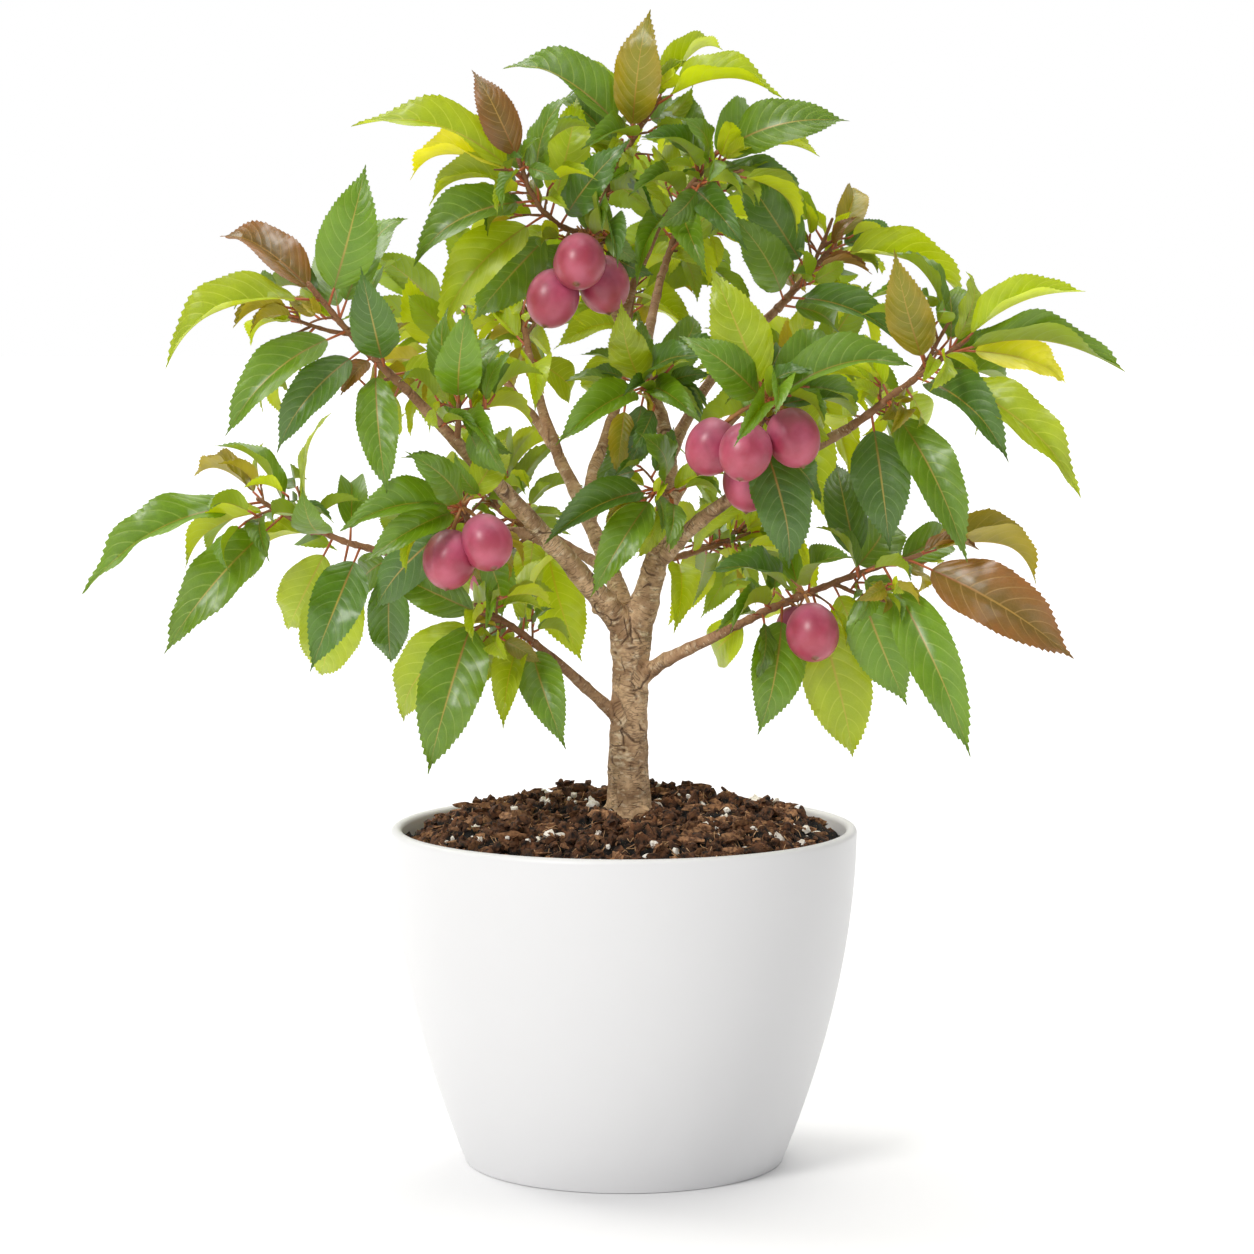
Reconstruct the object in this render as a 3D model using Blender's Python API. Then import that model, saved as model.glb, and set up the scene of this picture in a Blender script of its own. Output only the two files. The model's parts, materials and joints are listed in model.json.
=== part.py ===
# Plum tree grown in a round white pot, in metres, Z up.
# The origin is the centre of the pot's flat underside and -Y is the tree's front.
# Sizes in the tables are millimetres, angles are degrees.

import math
import random

import bmesh
import bpy
from mathutils import Vector, noise
from mathutils.bvhtree import BVHTree

mm = 0.001
clearance = 0.3  # gap between neighbouring solids

# Pot: a turned shell with a rounded lip
potHeight = 218.5
potRimRadius = 151.0
potFootRadius = 103.6
potBelly = 1.87  # exponent of the wall's curve, larger is fuller low down
potWall = 7.4
potFloor = 8.0
potLip = 3.6  # radius of the rounded lip
potFootRound = 1.6
potSegments = 44

# Soil: fills the pot and heaps up a little at the trunk
soilEdgeHeight = 209.0
soilCrownHeight = 231.0
soilCrownBack = 38.0  # the heap peaks this far behind the trunk
soilLump = 4.5
soilSegments = 32
soilRings = (134.0, 114.0, 94.0, 74.0, 54.0, 36.0)

# Trunk: leans a little, with a root flare, from the soil to its fork
trunkFoot = Vector((3.0, 0.0, 221.7))
trunkTop = Vector((5.0, 0.0, 353.0))
trunkBow = Vector((-1.0, 0.0, 0.0))
trunkRadius = 11.6
trunkTaper = 3.8  # extra radius at the soil, which fades over trunkFade
trunkFade = 38.0
flareRadius = 3.4  # extra radius of the root flare, which fades over flareFade
flareFade = 7.0
trunkSides = 14
soilSeat = trunkFoot.z - clearance

# Boughs: parent, share of the way along it, tip, two bows off the chord, first and last radius
boughs = {
    "leader_low": ("trunk", 0.90, (29, -3, 461), (8, -10, -2), (9, -4, -1), 9.0, 5.3),
    "left_main": ("trunk", 0.92, (-133, -82, 501), (4, 1, 3), (2, -5, -1), 8.0, 3.0),
    "back_left": ("trunk", 0.94, (-62, 100, 510), (7, 3, 1), (-7, 14, -11), 6.6, 3.0),
    "low_right": ("trunk", 0.66, (69, -32, 350), (-2, 3, 5), (-1, -1, 1), 5.2, 3.1),
    "low_left": ("trunk", 0.47, (-51, -27, 334), (-2, 2, -1), (1, 2, 2), 4.4, 3.0),
    "rear_low_right": ("trunk", 0.80, (26, 92, 384), (0, 0, -4), (0, 0, -2), 5.0, 3.0),
    "leader_high": ("leader_low", 1.00, (-17, 6, 608), (9, 8, 2), (-21, 14, -5), 5.2, 3.0),
    "right_main": ("leader_low", 0.42, (142, -52, 478), (-7, -1, 10), (-6, -5, 4), 5.2, 3.3),
    "upper_right": ("leader_low", 0.96, (99, 37, 551), (-11, 3, 5), (-9, 7, 5), 4.0, 2.9),
    "rear_right": ("leader_low", 0.70, (78, 108, 484), (-3, 1, 0), (-4, 2, 0), 4.6, 3.0),
    "top_right": ("leader_high", 0.56, (22, 0, 605), (-2, 1, 1), (-2, 1, 1), 3.2, 2.5),
    "rear_high": ("leader_high", 0.36, (24, 92, 571), (-1, 0, 0), (-1, 0, 0), 3.8, 2.8),
    "mid_left": ("left_main", 0.38, (-137, -26, 395), (3, -18, 22), (-2, -11, 2), 4.0, 2.4),
    "back_centre": ("back_left", 0.42, (-1, 120, 521), (-15, 5, -1), (11, 2, -4), 4.8, 2.9),
    "rear_low_left": ("back_left", 0.22, (-43, 108, 396), (2, 1, -1), (1, 1, -1), 4.4, 2.8),
    "rear_left": ("back_left", 0.72, (-84, 128, 507), (0, 0, 0), (1, 1, 0), 3.8, 2.6),
}
boughSides = 8
boughSteps = 6

# Foliage: each mass grows on from its bough's tip, or at "at" stands on the bough's side.
# tip and bow shape its stem. Its shown leaves are: share along the stem, heading in the
# front plane, length, roll of the blade from facing front (0) to facing up (90), lean
# towards the front, tint. fill more leaves and twigs follow the seeded rule, and fruit
# lists where the plums hang.
masses = {
    "left_high": dict(
        bough="left_main", tip=(-193, -108, 568), bow=(-2, 0, -2), seed=3, fill=4, twigs=1,
        leaves=(
            (0.86, 196, 110, 60, 12, "lime"), (0.83, 150, 88, 60, -5, "bronze"),
            (0.79, 72, 93, 15, 8, "green"), (0.68, 60, 83, 70, -10, "green"),
            (0.23, 98, 63, 10, 12, "deep"), (0.59, 218, 102, 35, 15, "green"),
            (0.43, 228, 86, 30, 22, "deep"), (0.35, 232, 33, 30, 30, "bronze"),
            (0.32, 274, 82, 5, 20, "green"), (0.84, 176, 42, 100, -20, "deep"),
            (0.65, 178, 45, 60, -35, "lime"), (0.17, 344, 46, 50, -25, "lime"),
            (0.08, 264, 64, 20, -30, "lime"),
        ),
    ),
    "left_side": dict(
        bough="left_main", at=0.81, tip=(-102, -88, 495), seed=5, fill=2,
        leaves=(
            (0.90, 88, 61, 12, 10, "green"), (0.40, 210, 28, 35, -20, "green"),
            (0.60, 318, 35, 45, 20, "green"), (0.50, 138, 49, 50, -30, "lime"),
            (0.84, 40, 37, 40, -25, "lime"),
        ),
    ),
    "mid_left": dict(
        bough="mid_left", tip=(-236, 0, 430), bow=(-1, 5, -8), seed=8, fill=5, twigs=1,
        leaves=(
            (0.97, 206, 131, 62, 12, "green"), (0.95, 160, 58, 75, -12, "olive"),
            (0.82, 230, 122, 22, 20, "green"), (0.55, 204, 60, 60, -18, "lime"),
            (0.38, 96, 44, 40, -20, "green"), (0.52, 116, 36, 30, 5, "green"),
            (0.31, 248, 92, 12, 25, "deep"), (0.39, 254, 116, 20, -28, "lime"),
            (0.49, 240, 93, 20, -35, "lime"), (0.12, 266, 78, 15, -15, "deep"),
            (0.08, 234, 56, 20, -38, "green"),
        ),
    ),
    "left_fruit": dict(
        bough="mid_left", at=0.52, tip=(-101, -84, 430), seed=13, fill=3,
        fruit=((-108, -94, 398), (-85, -100, 409)),
        leaves=(
            (0.98, 188, 75, 50, 14, "green"), (0.92, 210, 65, 40, 22, "green"),
            (0.69, 227, 88, 18, 16, "deep"), (0.95, 126, 49, 25, 10, "green"),
            (0.91, 52, 33, 40, -15, "lime"), (0.51, 292, 69, 20, -28, "green"),
            (0.91, 120, 33, 40, -30, "lime"), (0.60, 260, 64, 20, -35, "lime"),
        ),
    ),
    "low_left": dict(
        bough="low_left", tip=(-94, -48, 366), bow=(1, 0, 2), seed=21, fill=5, twigs=1,
        leaves=(
            (0.97, 252, 116, 12, 22, "green"), (0.90, 230, 100, 25, -12, "lime"),
            (0.50, 240, 55, 25, -25, "lime"), (0.33, 256, 55, 20, 8, "lime"),
            (0.24, 288, 70, 10, 18, "green"), (0.80, 250, 52, 20, -40, "lime"),
            (0.95, 148, 36, 40, 25, "green"), (0.86, 80, 43, 30, -30, "lime"),
        ),
    ),
    "low_right": dict(
        bough="low_right", tip=(186, -66, 399), bow=(-2, -2, 4), seed=34, fill=4, twigs=1,
        fruit=((118, -76, 351), (113, -34, 347)),
        leaves=(
            (0.93, 328, 119, 20, 12, "bronze"), (0.97, 10, 41, 70, -10, "bronze"),
            (0.96, 354, 99, 75, -22, "olive"), (0.81, 298, 138, 15, 22, "green"),
            (0.66, 294, 90, 15, 12, "green"), (0.44, 284, 119, 15, -14, "lime"),
            (0.28, 260, 83, 15, 14, "green"), (0.32, 272, 62, 20, -25, "lime"),
            (0.12, 240, 52, 25, -8, "lime"), (0.34, 156, 59, 50, 8, "deep"),
            (0.22, 188, 30, 60, 30, "green"), (0.42, 52, 36, 45, 10, "green"),
            (0.69, 100, 73, 20, -12, "deep"), (0.82, 326, 36, 40, -30, "olive"),
            (0.55, 296, 44, 30, -38, "lime"), (0.38, 104, 30, 40, -20, "green"),
        ),
    ),
    "right_high": dict(
        bough="right_main", tip=(214, -70, 534), bow=(0, -1, 0), seed=55, fill=5, twigs=1,
        leaves=(
            (0.65, 108, 78, 15, 10, "olive"), (0.90, 24, 86, 65, 5, "lime"),
            (0.83, 356, 113, 60, 14, "green"), (0.88, 342, 82, 40, -30, "yellow"),
            (0.76, 354, 56, 70, -12, "green"), (0.67, 322, 130, 35, 15, "lime"),
            (0.57, 318, 89, 20, 30, "deep"), (0.31, 298, 119, 18, 22, "green"),
            (0.18, 278, 88, 10, 14, "deep"), (0.85, 84, 42, 35, -18, "green"),
            (0.47, 288, 40, 30, -35, "lime"), (0.12, 248, 45, 30, -30, "lime"),
            (0.97, 358, 24, 60, 30, "bronze"), (0.34, 126, 40, 50, -25, "lime"),
        ),
    ),
    "right_fruit": dict(
        bough="right_main", at=0.47, tip=(88, -106, 497), bow=(0, -4, -3), seed=89, fill=4,
        fruit=((74, -125, 466), (104, -110, 474), (54, -96, 468), (78, -82, 446)),
        leaves=(
            (0.93, 208, 74, 35, 14, "green"), (0.99, 114, 90, 20, 6, "lime"),
            (0.96, 146, 57, 30, 16, "green"), (0.98, 46, 62, 35, -8, "green"),
            (0.97, 16, 96, 55, 8, "green"), (0.95, 340, 71, 35, 18, "green"),
            (0.73, 282, 92, 8, 0, "deep"), (0.90, 358, 68, 50, -18, "deep"),
            (0.92, 110, 54, 40, -25, "lime"), (0.84, 320, 58, 35, -25, "lime"),
        ),
    ),
    "upper_right": dict(
        bough="upper_right", tip=(138, 48, 594), bow=(0, 0, 0), seed=144, fill=5, twigs=1,
        leaves=(
            (0.55, 126, 85, 10, 10, "deep"), (0.13, 118, 68, 25, 14, "green"),
            (0.94, 64, 48, 20, -4, "olive"), (0.87, 342, 102, 60, 12, "lime"),
            (0.20, 338, 92, 40, 25, "deep"), (0.62, 0, 39, 70, 22, "bronze"),
            (0.93, 50, 28, 60, -20, "bronze"), (0.41, 320, 40, 50, -35, "lime"),
            (0.33, 122, 40, 40, -35, "lime"), (0.25, 12, 44, 60, -28, "olive"),
            (0.08, 334, 45, 30, -20, "green"),
        ),
    ),
    "top_right": dict(
        bough="top_right", tip=(59, -9, 652), bow=(1, -1, 0), seed=233, fill=4, twigs=1,
        leaves=(
            (0.95, 18, 90, 30, 12, "green"), (0.79, 6, 80, 60, -25, "lime"),
            (0.55, 310, 52, 25, 16, "deep"), (0.32, 290, 48, 15, 8, "green"),
            (0.37, 166, 32, 50, 12, "green"), (0.69, 146, 47, 50, 16, "deep"),
            (0.78, 112, 56, 20, -12, "green"), (0.61, 330, 42, 40, -25, "lime"),
            (0.44, 132, 32, 40, -30, "lime"), (0.20, 240, 38, 30, 25, "green"),
            (0.70, 102, 38, 40, 30, "green"),
        ),
    ),
    "top": dict(
        bough="leader_high", tip=(23, -6, 686), bow=(-5, 0, 2), seed=377, fill=5, twigs=1,
        leaves=(
            (0.62, 80, 83, 15, 6, "olive"), (0.64, 148, 103, 60, -8, "green"),
            (0.88, 48, 77, 40, -6, "lime"), (0.94, 6, 81, 65, 10, "lime"),
            (0.48, 132, 59, 40, -18, "green"), (0.75, 100, 38, 30, 18, "bronze"),
            (0.81, 92, 41, 20, -25, "green"), (0.64, 194, 30, 30, 28, "green"),
            (0.34, 136, 44, 40, -30, "lime"), (0.44, 348, 34, 45, -25, "green"),
            (0.20, 342, 36, 40, 22, "deep"), (0.13, 140, 40, 50, -20, "lime"),
            (0.90, 294, 34, 30, 25, "green"),
        ),
    ),
    "top_left": dict(
        bough="leader_high", at=0.95, tip=(-66, -48, 646), bow=(-7, -6, -18), seed=610, fill=4,
        leaves=(
            (0.80, 158, 120, 58, 10, "lime"), (0.66, 204, 93, 50, 16, "green"),
            (0.52, 224, 106, 30, 8, "lime"), (0.37, 234, 80, 15, 22, "green"),
            (0.92, 118, 69, 25, 5, "bronze"), (0.62, 76, 75, 60, 12, "green"),
            (0.85, 172, 92, 60, -30, "yellow"), (0.88, 84, 57, 30, -20, "green"),
            (0.35, 48, 69, 15, 20, "deep"), (0.47, 72, 77, 35, -22, "lime"),
            (0.49, 196, 59, 50, -28, "lime"), (0.29, 216, 48, 30, -35, "lime"),
        ),
    ),
    "top_fruit": dict(
        bough="leader_high", at=0.86, tip=(-23, -28, 596), seed=11, fill=1,
        fruit=((-28, -52, 582), (-45, -40, 559), (-13, -26, 568)),
        leaves=(
            (0.95, 326, 72, 12, 16, "deep"), (0.90, 302, 68, 15, -18, "lime"),
            (0.85, 224, 58, 20, -12, "green"), (0.90, 62, 40, 35, 10, "green"),
        ),
    ),
    "centre_high": dict(
        bough="leader_high", at=0.27, tip=(13, -20, 503), seed=17, fill=2,
        leaves=(
            (0.90, 212, 66, 30, 14, "green"), (0.88, 30, 42, 40, 22, "deep"),
            (0.70, 332, 42, 35, 28, "green"), (0.85, 114, 44, 40, 8, "lime"),
        ),
    ),
    "centre_low": dict(
        bough="leader_low", at=0.78, tip=(21, -28, 439), seed=19, fill=1,
        leaves=(
            (0.90, 206, 80, 35, 16, "deep"), (0.80, 238, 80, 12, 24, "green"),
            (0.60, 102, 44, 40, 12, "green"),
        ),
    ),
    "back_left": dict(
        bough="back_left", tip=(-74, 134, 570), bow=(1, 1, -1), seed=23, fill=9, twigs=2,
        leaves=(
            (0.63, 126, 40, 30, 0, "lime"), (0.12, 218, 52, 40, 10, "lime"),
            (0.26, 148, 52, 40, -10, "lime"), (0.08, 280, 52, 30, 5, "lime"),
            (0.49, 24, 42, 50, 10, "lime"), (0.16, 310, 46, 30, -15, "lime"),
        ),
    ),
    "back_centre": dict(
        bough="back_centre", tip=(8, 160, 575), bow=(0, 1, -1), seed=29, fill=10, twigs=2,
        leaves=(
            (0.34, 194, 50, 40, 5, "lime"), (0.54, 118, 50, 30, 10, "lime"),
            (0.13, 306, 50, 25, 8, "lime"), (0.87, 20, 50, 50, 0, "lime"),
            (0.74, 328, 50, 40, 14, "lime"), (0.20, 240, 54, 25, -10, "lime"),
        ),
    ),
    "rear_left": dict(
        bough="rear_left", tip=(-128, 168, 548), bow=(0, 0, -4), seed=31, fill=11, twigs=3,
    ),
    "rear_high": dict(
        bough="rear_high", tip=(42, 140, 630), bow=(0, 2, -3), seed=37, fill=11, twigs=3,
    ),
    "rear_right": dict(
        bough="rear_right", tip=(136, 168, 528), bow=(2, 0, -3), seed=41, fill=11, twigs=3,
        fruit=((96, 150, 462), (112, 128, 456)),
        leaves=(
            (0.20, 264, 93, 20, 12, "lime"), (0.41, 290, 112, 25, 8, "lime"),
            (0.69, 72, 54, 40, 0, "lime"),
        ),
    ),
    "rear_low_right": dict(
        bough="rear_low_right", tip=(84, 152, 404), bow=(0, 1, -5), seed=43, fill=11, twigs=3,
        leaves=(
            (0.16, 272, 46, 25, 12, "lime"), (0.33, 44, 50, 40, 0, "lime"),
            (0.10, 148, 42, 40, 5, "lime"),
        ),
    ),
    "rear_low_left": dict(
        bough="rear_low_left", tip=(-94, 160, 420), bow=(0, 1, -5), seed=47, fill=11, twigs=3,
        fruit=((-92, 142, 374), (-116, 158, 382)),
        leaves=(
            (0.20, 284, 88, 20, 10, "lime"), (0.33, 264, 64, 25, 8, "lime"),
            (0.08, 322, 36, 30, 10, "lime"), (0.49, 210, 50, 30, -5, "lime"),
        ),
    ),
}
stemRadius = 2.1
stemTipRadius = 1.4
spurTipRadius = 2.2  # a fruiting spur swells to its end
stemSteps = 5
twigLength = (32.0, 48.0)
twigRadius = 1.4

# Leaf: petiole, then a blade that arches over and ends in a point
leafWidthShare = 0.50
leafWidest = 45.0
petioleShare = 0.14
petioleRadius = 0.65
leafArch = (0.06, 0.15)  # rise of the midrib, as a share of the length, on a hanging and a level leaf
leafThickness = 1.5  # depth of the ridge under the midrib
bladeCuts = ((0.22, 0.82), (0.62, 0.88))  # share along the blade, share of the full width
fullLeaf = 92.0  # a grown leaf that looks shorter from the front leans to or from it
fillLength = (60.0, 86.0)
fillSpread = (48.0, 76.0)  # angle off the stem, at its tip and at its foot
goldenAngle = 137.5
spare = 1.0  # how far a leaf keeps from others

# Crown: the room that the fill leaves stay in
crownCentre = Vector((-15.0, 20.0, 486.0))
crownReach = Vector((318.0, 236.0, 238.0))

# Plum
plumRadius = 17.3
plumHalfLength = 20.2
stalkRadius = 1.0

tints = {
    "bark": ((0.30, 0.20, 0.13), 0.85),
    "green": ((0.10, 0.27, 0.04), 0.45),
    "deep": ((0.05, 0.18, 0.04), 0.40),
    "lime": ((0.34, 0.52, 0.03), 0.50),
    "yellow": ((0.60, 0.55, 0.03), 0.50),
    "olive": ((0.38, 0.33, 0.06), 0.50),
    "bronze": ((0.35, 0.14, 0.05), 0.50),
    "plum": ((0.45, 0.06, 0.12), 0.35),
}
front = Vector((0.0, -1.0, 0.0))
up = Vector((0.0, 0.0, 1.0))


def material(name, colour, roughness):
    """A Principled material, made once."""
    found = bpy.data.materials.get(name)
    if found:
        return found
    made = bpy.data.materials.new(name)
    made.use_nodes = True
    shader = made.node_tree.nodes["Principled BSDF"]
    shader.inputs["Base Color"].default_value = (*colour, 1.0)
    shader.inputs["Roughness"].default_value = roughness
    return made


def newObject(name, points, faces, slots=None):
    """A mesh object from points in millimetres."""
    mesh = bpy.data.meshes.new(name)
    mesh.from_pydata([point * mm for point in points], [], faces)
    for slot in slots or ():
        mesh.materials.append(slot)
    made = bpy.data.objects.new(name, mesh)
    bpy.context.scene.collection.objects.link(made)
    return made


def turned(name, profile, segments):
    """A solid of revolution round Z, from a profile of (radius, height) that starts and ends on the axis."""
    shell = bmesh.new()
    spots = [shell.verts.new((radius * mm, 0.0, height * mm)) for radius, height in profile]
    edges = [shell.edges.new(pair) for pair in zip(spots, spots[1:])]
    bmesh.ops.spin(
        shell, geom=spots + edges, cent=(0, 0, 0), axis=(0, 0, 1),
        angle=math.tau, steps=segments, use_merge=True,
    )
    bmesh.ops.remove_doubles(shell, verts=shell.verts, dist=0.00001)
    bmesh.ops.recalc_face_normals(shell, faces=shell.faces)
    made = newObject(name, [], [])
    shell.to_mesh(made.data)
    shell.free()
    return made


def curvePoints(start, tip, bowNear, bowFar, steps):
    """Points along a cubic whose two handles stand off the chord by the bows."""
    near = start.lerp(tip, 1 / 3) + bowNear
    far = start.lerp(tip, 2 / 3) + bowFar
    points = []
    for step in range(steps + 1):
        t = step / steps
        s = 1 - t
        points.append(start * s**3 + near * 3 * s * s * t + far * 3 * s * t * t + tip * t**3)
    return points


def directions(points):
    """The unit tangent at each point of a line."""
    found = []
    for index in range(len(points)):
        before = points[max(index - 1, 0)]
        after = points[min(index + 1, len(points) - 1)]
        found.append((after - before).normalized())
    return found


def onLine(points, share):
    """The point and direction at a share of a line's length."""
    lengths = [(b - a).length for a, b in zip(points, points[1:])]
    left = share * sum(lengths)
    for index, length in enumerate(lengths):
        if left <= length or index == len(lengths) - 1:
            a, b = points[index], points[index + 1]
            return a.lerp(b, min(left / length, 1.0)), (b - a).normalized()
        left -= length


def tubeMesh(points, radii, sides, lead=None):
    """Points and faces of a capped tube, its rings turned as little as possible. lead squares its foot."""
    tangents = directions(points)
    if lead:
        tangents[0] = lead
    across = tangents[0].orthogonal().normalized()
    spots = []
    for point, tangent, radius in zip(points, tangents, radii):
        across = (across - tangent * across.dot(tangent)).normalized()
        side = tangent.cross(across)
        for index in range(sides):
            angle = math.tau * index / sides
            spots.append(point + (across * math.cos(angle) + side * math.sin(angle)) * radius)
    faces = [tuple(reversed(range(sides)))]
    for ring in range(len(points) - 1):
        low, high = ring * sides, (ring + 1) * sides
        for index in range(sides):
            after = (index + 1) % sides
            faces.append((low + index, low + after, high + after, high + index))
    last = (len(points) - 1) * sides
    faces.append(tuple(last + index for index in range(sides)))
    return spots, faces


def taper(first, last, count):
    return [first + (last - first) * index / (count - 1) for index in range(count)]


# Pot and soil

def wallRadius(height):
    """The pot's outer radius at a height."""
    share = 1 - (1 - height / potHeight) ** potBelly
    return potFootRadius + (potRimRadius - potFootRadius) * share


def makePot():
    profile = [(0.0, 0.0), (potFootRadius - potFootRound, 0.0), (wallRadius(potFootRound), potFootRound)]
    lipHeight = potHeight - potLip
    wallSteps = 8
    for step in range(1, wallSteps):
        height = lipHeight * step / wallSteps
        profile.append((wallRadius(height), height))
    lipRadius = wallRadius(lipHeight) - potLip
    for step in range(5):
        angle = math.pi * step / 4
        profile.append((lipRadius + potLip * math.cos(angle), lipHeight + potLip * math.sin(angle)))
    for height in (165.0, 80.0):
        profile.append((wallRadius(height) - potWall, height))
    profile.append((wallRadius(potFloor) - potWall, potFloor))
    profile.append((0.0, potFloor))
    pot = turned("pot", profile, potSegments)
    pot.data.materials.append(material("white satin pot", (0.86, 0.86, 0.86), 0.38))
    pot.data.shade_smooth()
    pot.data.set_sharp_from_angle(angle=math.radians(35))


def soilHeight(radius, angle):
    """The heaped top of the soil, with lumps that die out at the trunk's seat."""
    where = Vector((radius * math.cos(angle), radius * math.sin(angle), 0.0))
    edge = radius / soilRings[0]
    crown = (where - Vector((0.0, soilCrownBack, 0.0))).length / (soilRings[0] + soilCrownBack)
    fall = max(edge**5, crown**1.8)
    height = soilCrownHeight + (soilEdgeHeight - soilCrownHeight) * fall
    where = (where + up * 7.0) / 21.0
    return height + soilLump * noise.noise(where) * 1.6


def makeSoil():
    """Soil that fills the pot 0.3 mm clear, with a flat seat under the trunk."""
    # a chord of the pot's inner wall cuts inside its circle, so the soil keeps inside that chord
    inset = potWall + clearance
    shrink = math.cos(math.pi / potSegments)
    rings = []
    for height in (potFloor + clearance, 80.0, 165.0, soilEdgeHeight - 5.0):
        radius = (wallRadius(height) - inset) * shrink - 0.5
        rings.append([(radius, height)] * soilSegments)
    for radius in soilRings:
        ring = []
        for index in range(soilSegments):
            angle = math.tau * index / soilSegments
            wide = radius * (1 + 0.02 * math.sin(5 * angle + radius))
            ring.append((wide, soilHeight(radius, angle)))
        rings.append(ring)
    rings.append([(23.0, soilSeat)] * soilSegments)
    spots = [Vector((0.0, 0.0, potFloor + clearance))]
    for ring in rings:
        for index, (radius, height) in enumerate(ring):
            angle = math.tau * index / soilSegments
            spots.append(Vector((radius * math.cos(angle), radius * math.sin(angle), height)))
    spots.append(Vector((0.0, 0.0, soilSeat)))
    faces = []
    for index in range(soilSegments):
        after = (index + 1) % soilSegments
        faces.append((0, 1 + after, 1 + index))
        for ring in range(len(rings) - 1):
            low, high = 1 + ring * soilSegments, 1 + (ring + 1) * soilSegments
            faces.append((low + index, low + after, high + after, high + index))
        last = 1 + (len(rings) - 1) * soilSegments
        faces.append((last + index, last + after, len(spots) - 1))
    newObject("soil", spots, faces, [material("potting soil", (0.05, 0.025, 0.015), 0.95)])


# Trunk and boughs

def trunkRadiusAt(height):
    above = height - trunkFoot.z
    flare = flareRadius * math.exp(-above / flareFade)
    return trunkRadius + trunkTaper * math.exp(-above / trunkFade) + flare


def trunkLine():
    points = [curvePoints(trunkFoot, trunkTop, trunkBow, trunkBow, 100)[share]
              for share in (0, 3, 7, 13, 22, 34, 48, 64, 82, 96)]
    radii = [trunkRadiusAt(point.z) for point in points]
    return points + [trunkTop], radii + [trunkRadius * 0.6]


def limbShape(points, radii, sides, lead=None, extra=0.0):
    """A limb, grown by extra on all sides."""
    line = list(points)
    tangents = directions(line)
    if extra:
        line[0] = line[0] - tangents[0] * extra
        line[-1] = line[-1] + tangents[-1] * extra
    return tubeMesh(line, [radius + extra for radius in radii], sides, lead)


def cutClear(limb, others):
    """Cuts a limb back to the clearance from the limbs it springs from."""
    for other in others:
        cutter = newObject("cutter", *other)
        cut = limb.modifiers.new("cut", "BOOLEAN")
        cut.operation = "DIFFERENCE"
        cut.solver = "EXACT"
        cut.object = cutter
        applyModifier(limb, cut)
        bpy.data.objects.remove(cutter)
    keepMain(limb)


def makeLimbs():
    """The trunk and the boughs, each cut clear of those before it. Gives each one's centre line."""
    bark = material("bark", *tints["bark"])
    line, radii = trunkLine()
    newObject("trunk", *limbShape(line, radii, trunkSides), [bark])
    limbs = {"trunk": (line, radii, trunkSides, None)}
    for name, (parent, share, tip, bowNear, bowFar, first, last) in boughs.items():
        start, heading = onLine(limbs[parent][0], share)
        lead = None
        if share == 1.0:
            start, lead = start + heading * clearance, heading
        points = curvePoints(start, Vector(tip), Vector(bowNear), Vector(bowFar), boughSteps)
        limb = (points, taper(first, last, len(points)), boughSides, lead)
        bough = newObject("bough_" + name, *limbShape(*limb), [bark])
        near = [limbShape(*other, extra=clearance) for other in limbs.values()]
        cutClear(bough, [other for other in near if share < 1.0 and touches(limbShape(*limb), other)])
        limbs[name] = limb
    return limbs


# Joining and clearing

def applyModifier(thing, modifier):
    bpy.context.view_layer.objects.active = thing
    bpy.ops.object.modifier_apply(modifier=modifier.name)


def treeOf(shape):
    return BVHTree.FromPolygons([tuple(spot) for spot in shape[0]], shape[1])


def touches(one, other):
    return bool(treeOf(one).overlap(treeOf(other)))


def islandsOf(shell):
    """The separate pieces of a bmesh, as lists of faces."""
    left = set(shell.faces)
    found = []
    while left:
        heap = [left.pop()]
        piece = []
        while heap:
            face = heap.pop()
            piece.append(face)
            for edge in face.edges:
                for near in edge.link_faces:
                    if near in left:
                        left.remove(near)
                        heap.append(near)
        found.append(piece)
    return found


def volumeOf(faces):
    total = 0.0
    for face in faces:
        first = face.verts[0].co
        for a, b in zip(face.verts[1:], face.verts[2:]):
            total += first.dot(a.co.cross(b.co))
    return total / 6


def keepMain(thing):
    """Keeps a mesh's largest piece, so scraps and sealed hollows go. True where what is left is closed."""
    shell = bmesh.new()
    shell.from_mesh(thing.data)
    bmesh.ops.remove_doubles(shell, verts=shell.verts, dist=0.000002)
    bmesh.ops.dissolve_degenerate(shell, edges=shell.edges, dist=0.000001)
    pieces = sorted(islandsOf(shell), key=volumeOf)
    for piece in pieces[:-1]:
        bmesh.ops.delete(shell, geom=piece, context="FACES")
    loose = [spot for spot in shell.verts if not spot.link_faces]
    bmesh.ops.delete(shell, geom=loose, context="VERTS")
    bmesh.ops.triangulate(shell, faces=shell.faces)
    closed = all(len(edge.link_faces) == 2 for edge in shell.edges)
    shell.to_mesh(thing.data)
    shell.free()
    return closed


def unite(name, shapes, solver):
    """One solid from a stem and all that is sunk in it, by one union on a collection."""
    slots = [material(tint, *look) for tint, look in tints.items()]
    order = list(tints)
    group = bpy.data.collections.new(name + " pieces")
    bpy.context.scene.collection.children.link(group)
    things = []
    for (spots, faces), tint in shapes:
        thing = newObject(name, spots, faces, slots)
        thing.data.polygons.foreach_set("material_index", [order.index(tint)] * len(faces))
        things.append(thing)
    for thing in things[1:]:
        bpy.context.scene.collection.objects.unlink(thing)
        group.objects.link(thing)
    join = things[0].modifiers.new("join", "BOOLEAN")
    join.operation = "UNION"
    join.operand_type = "COLLECTION"
    join.collection = group
    join.solver = solver
    applyModifier(things[0], join)
    for thing in things[1:]:
        bpy.data.objects.remove(thing)
    bpy.data.collections.remove(group)
    return things[0]


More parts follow.
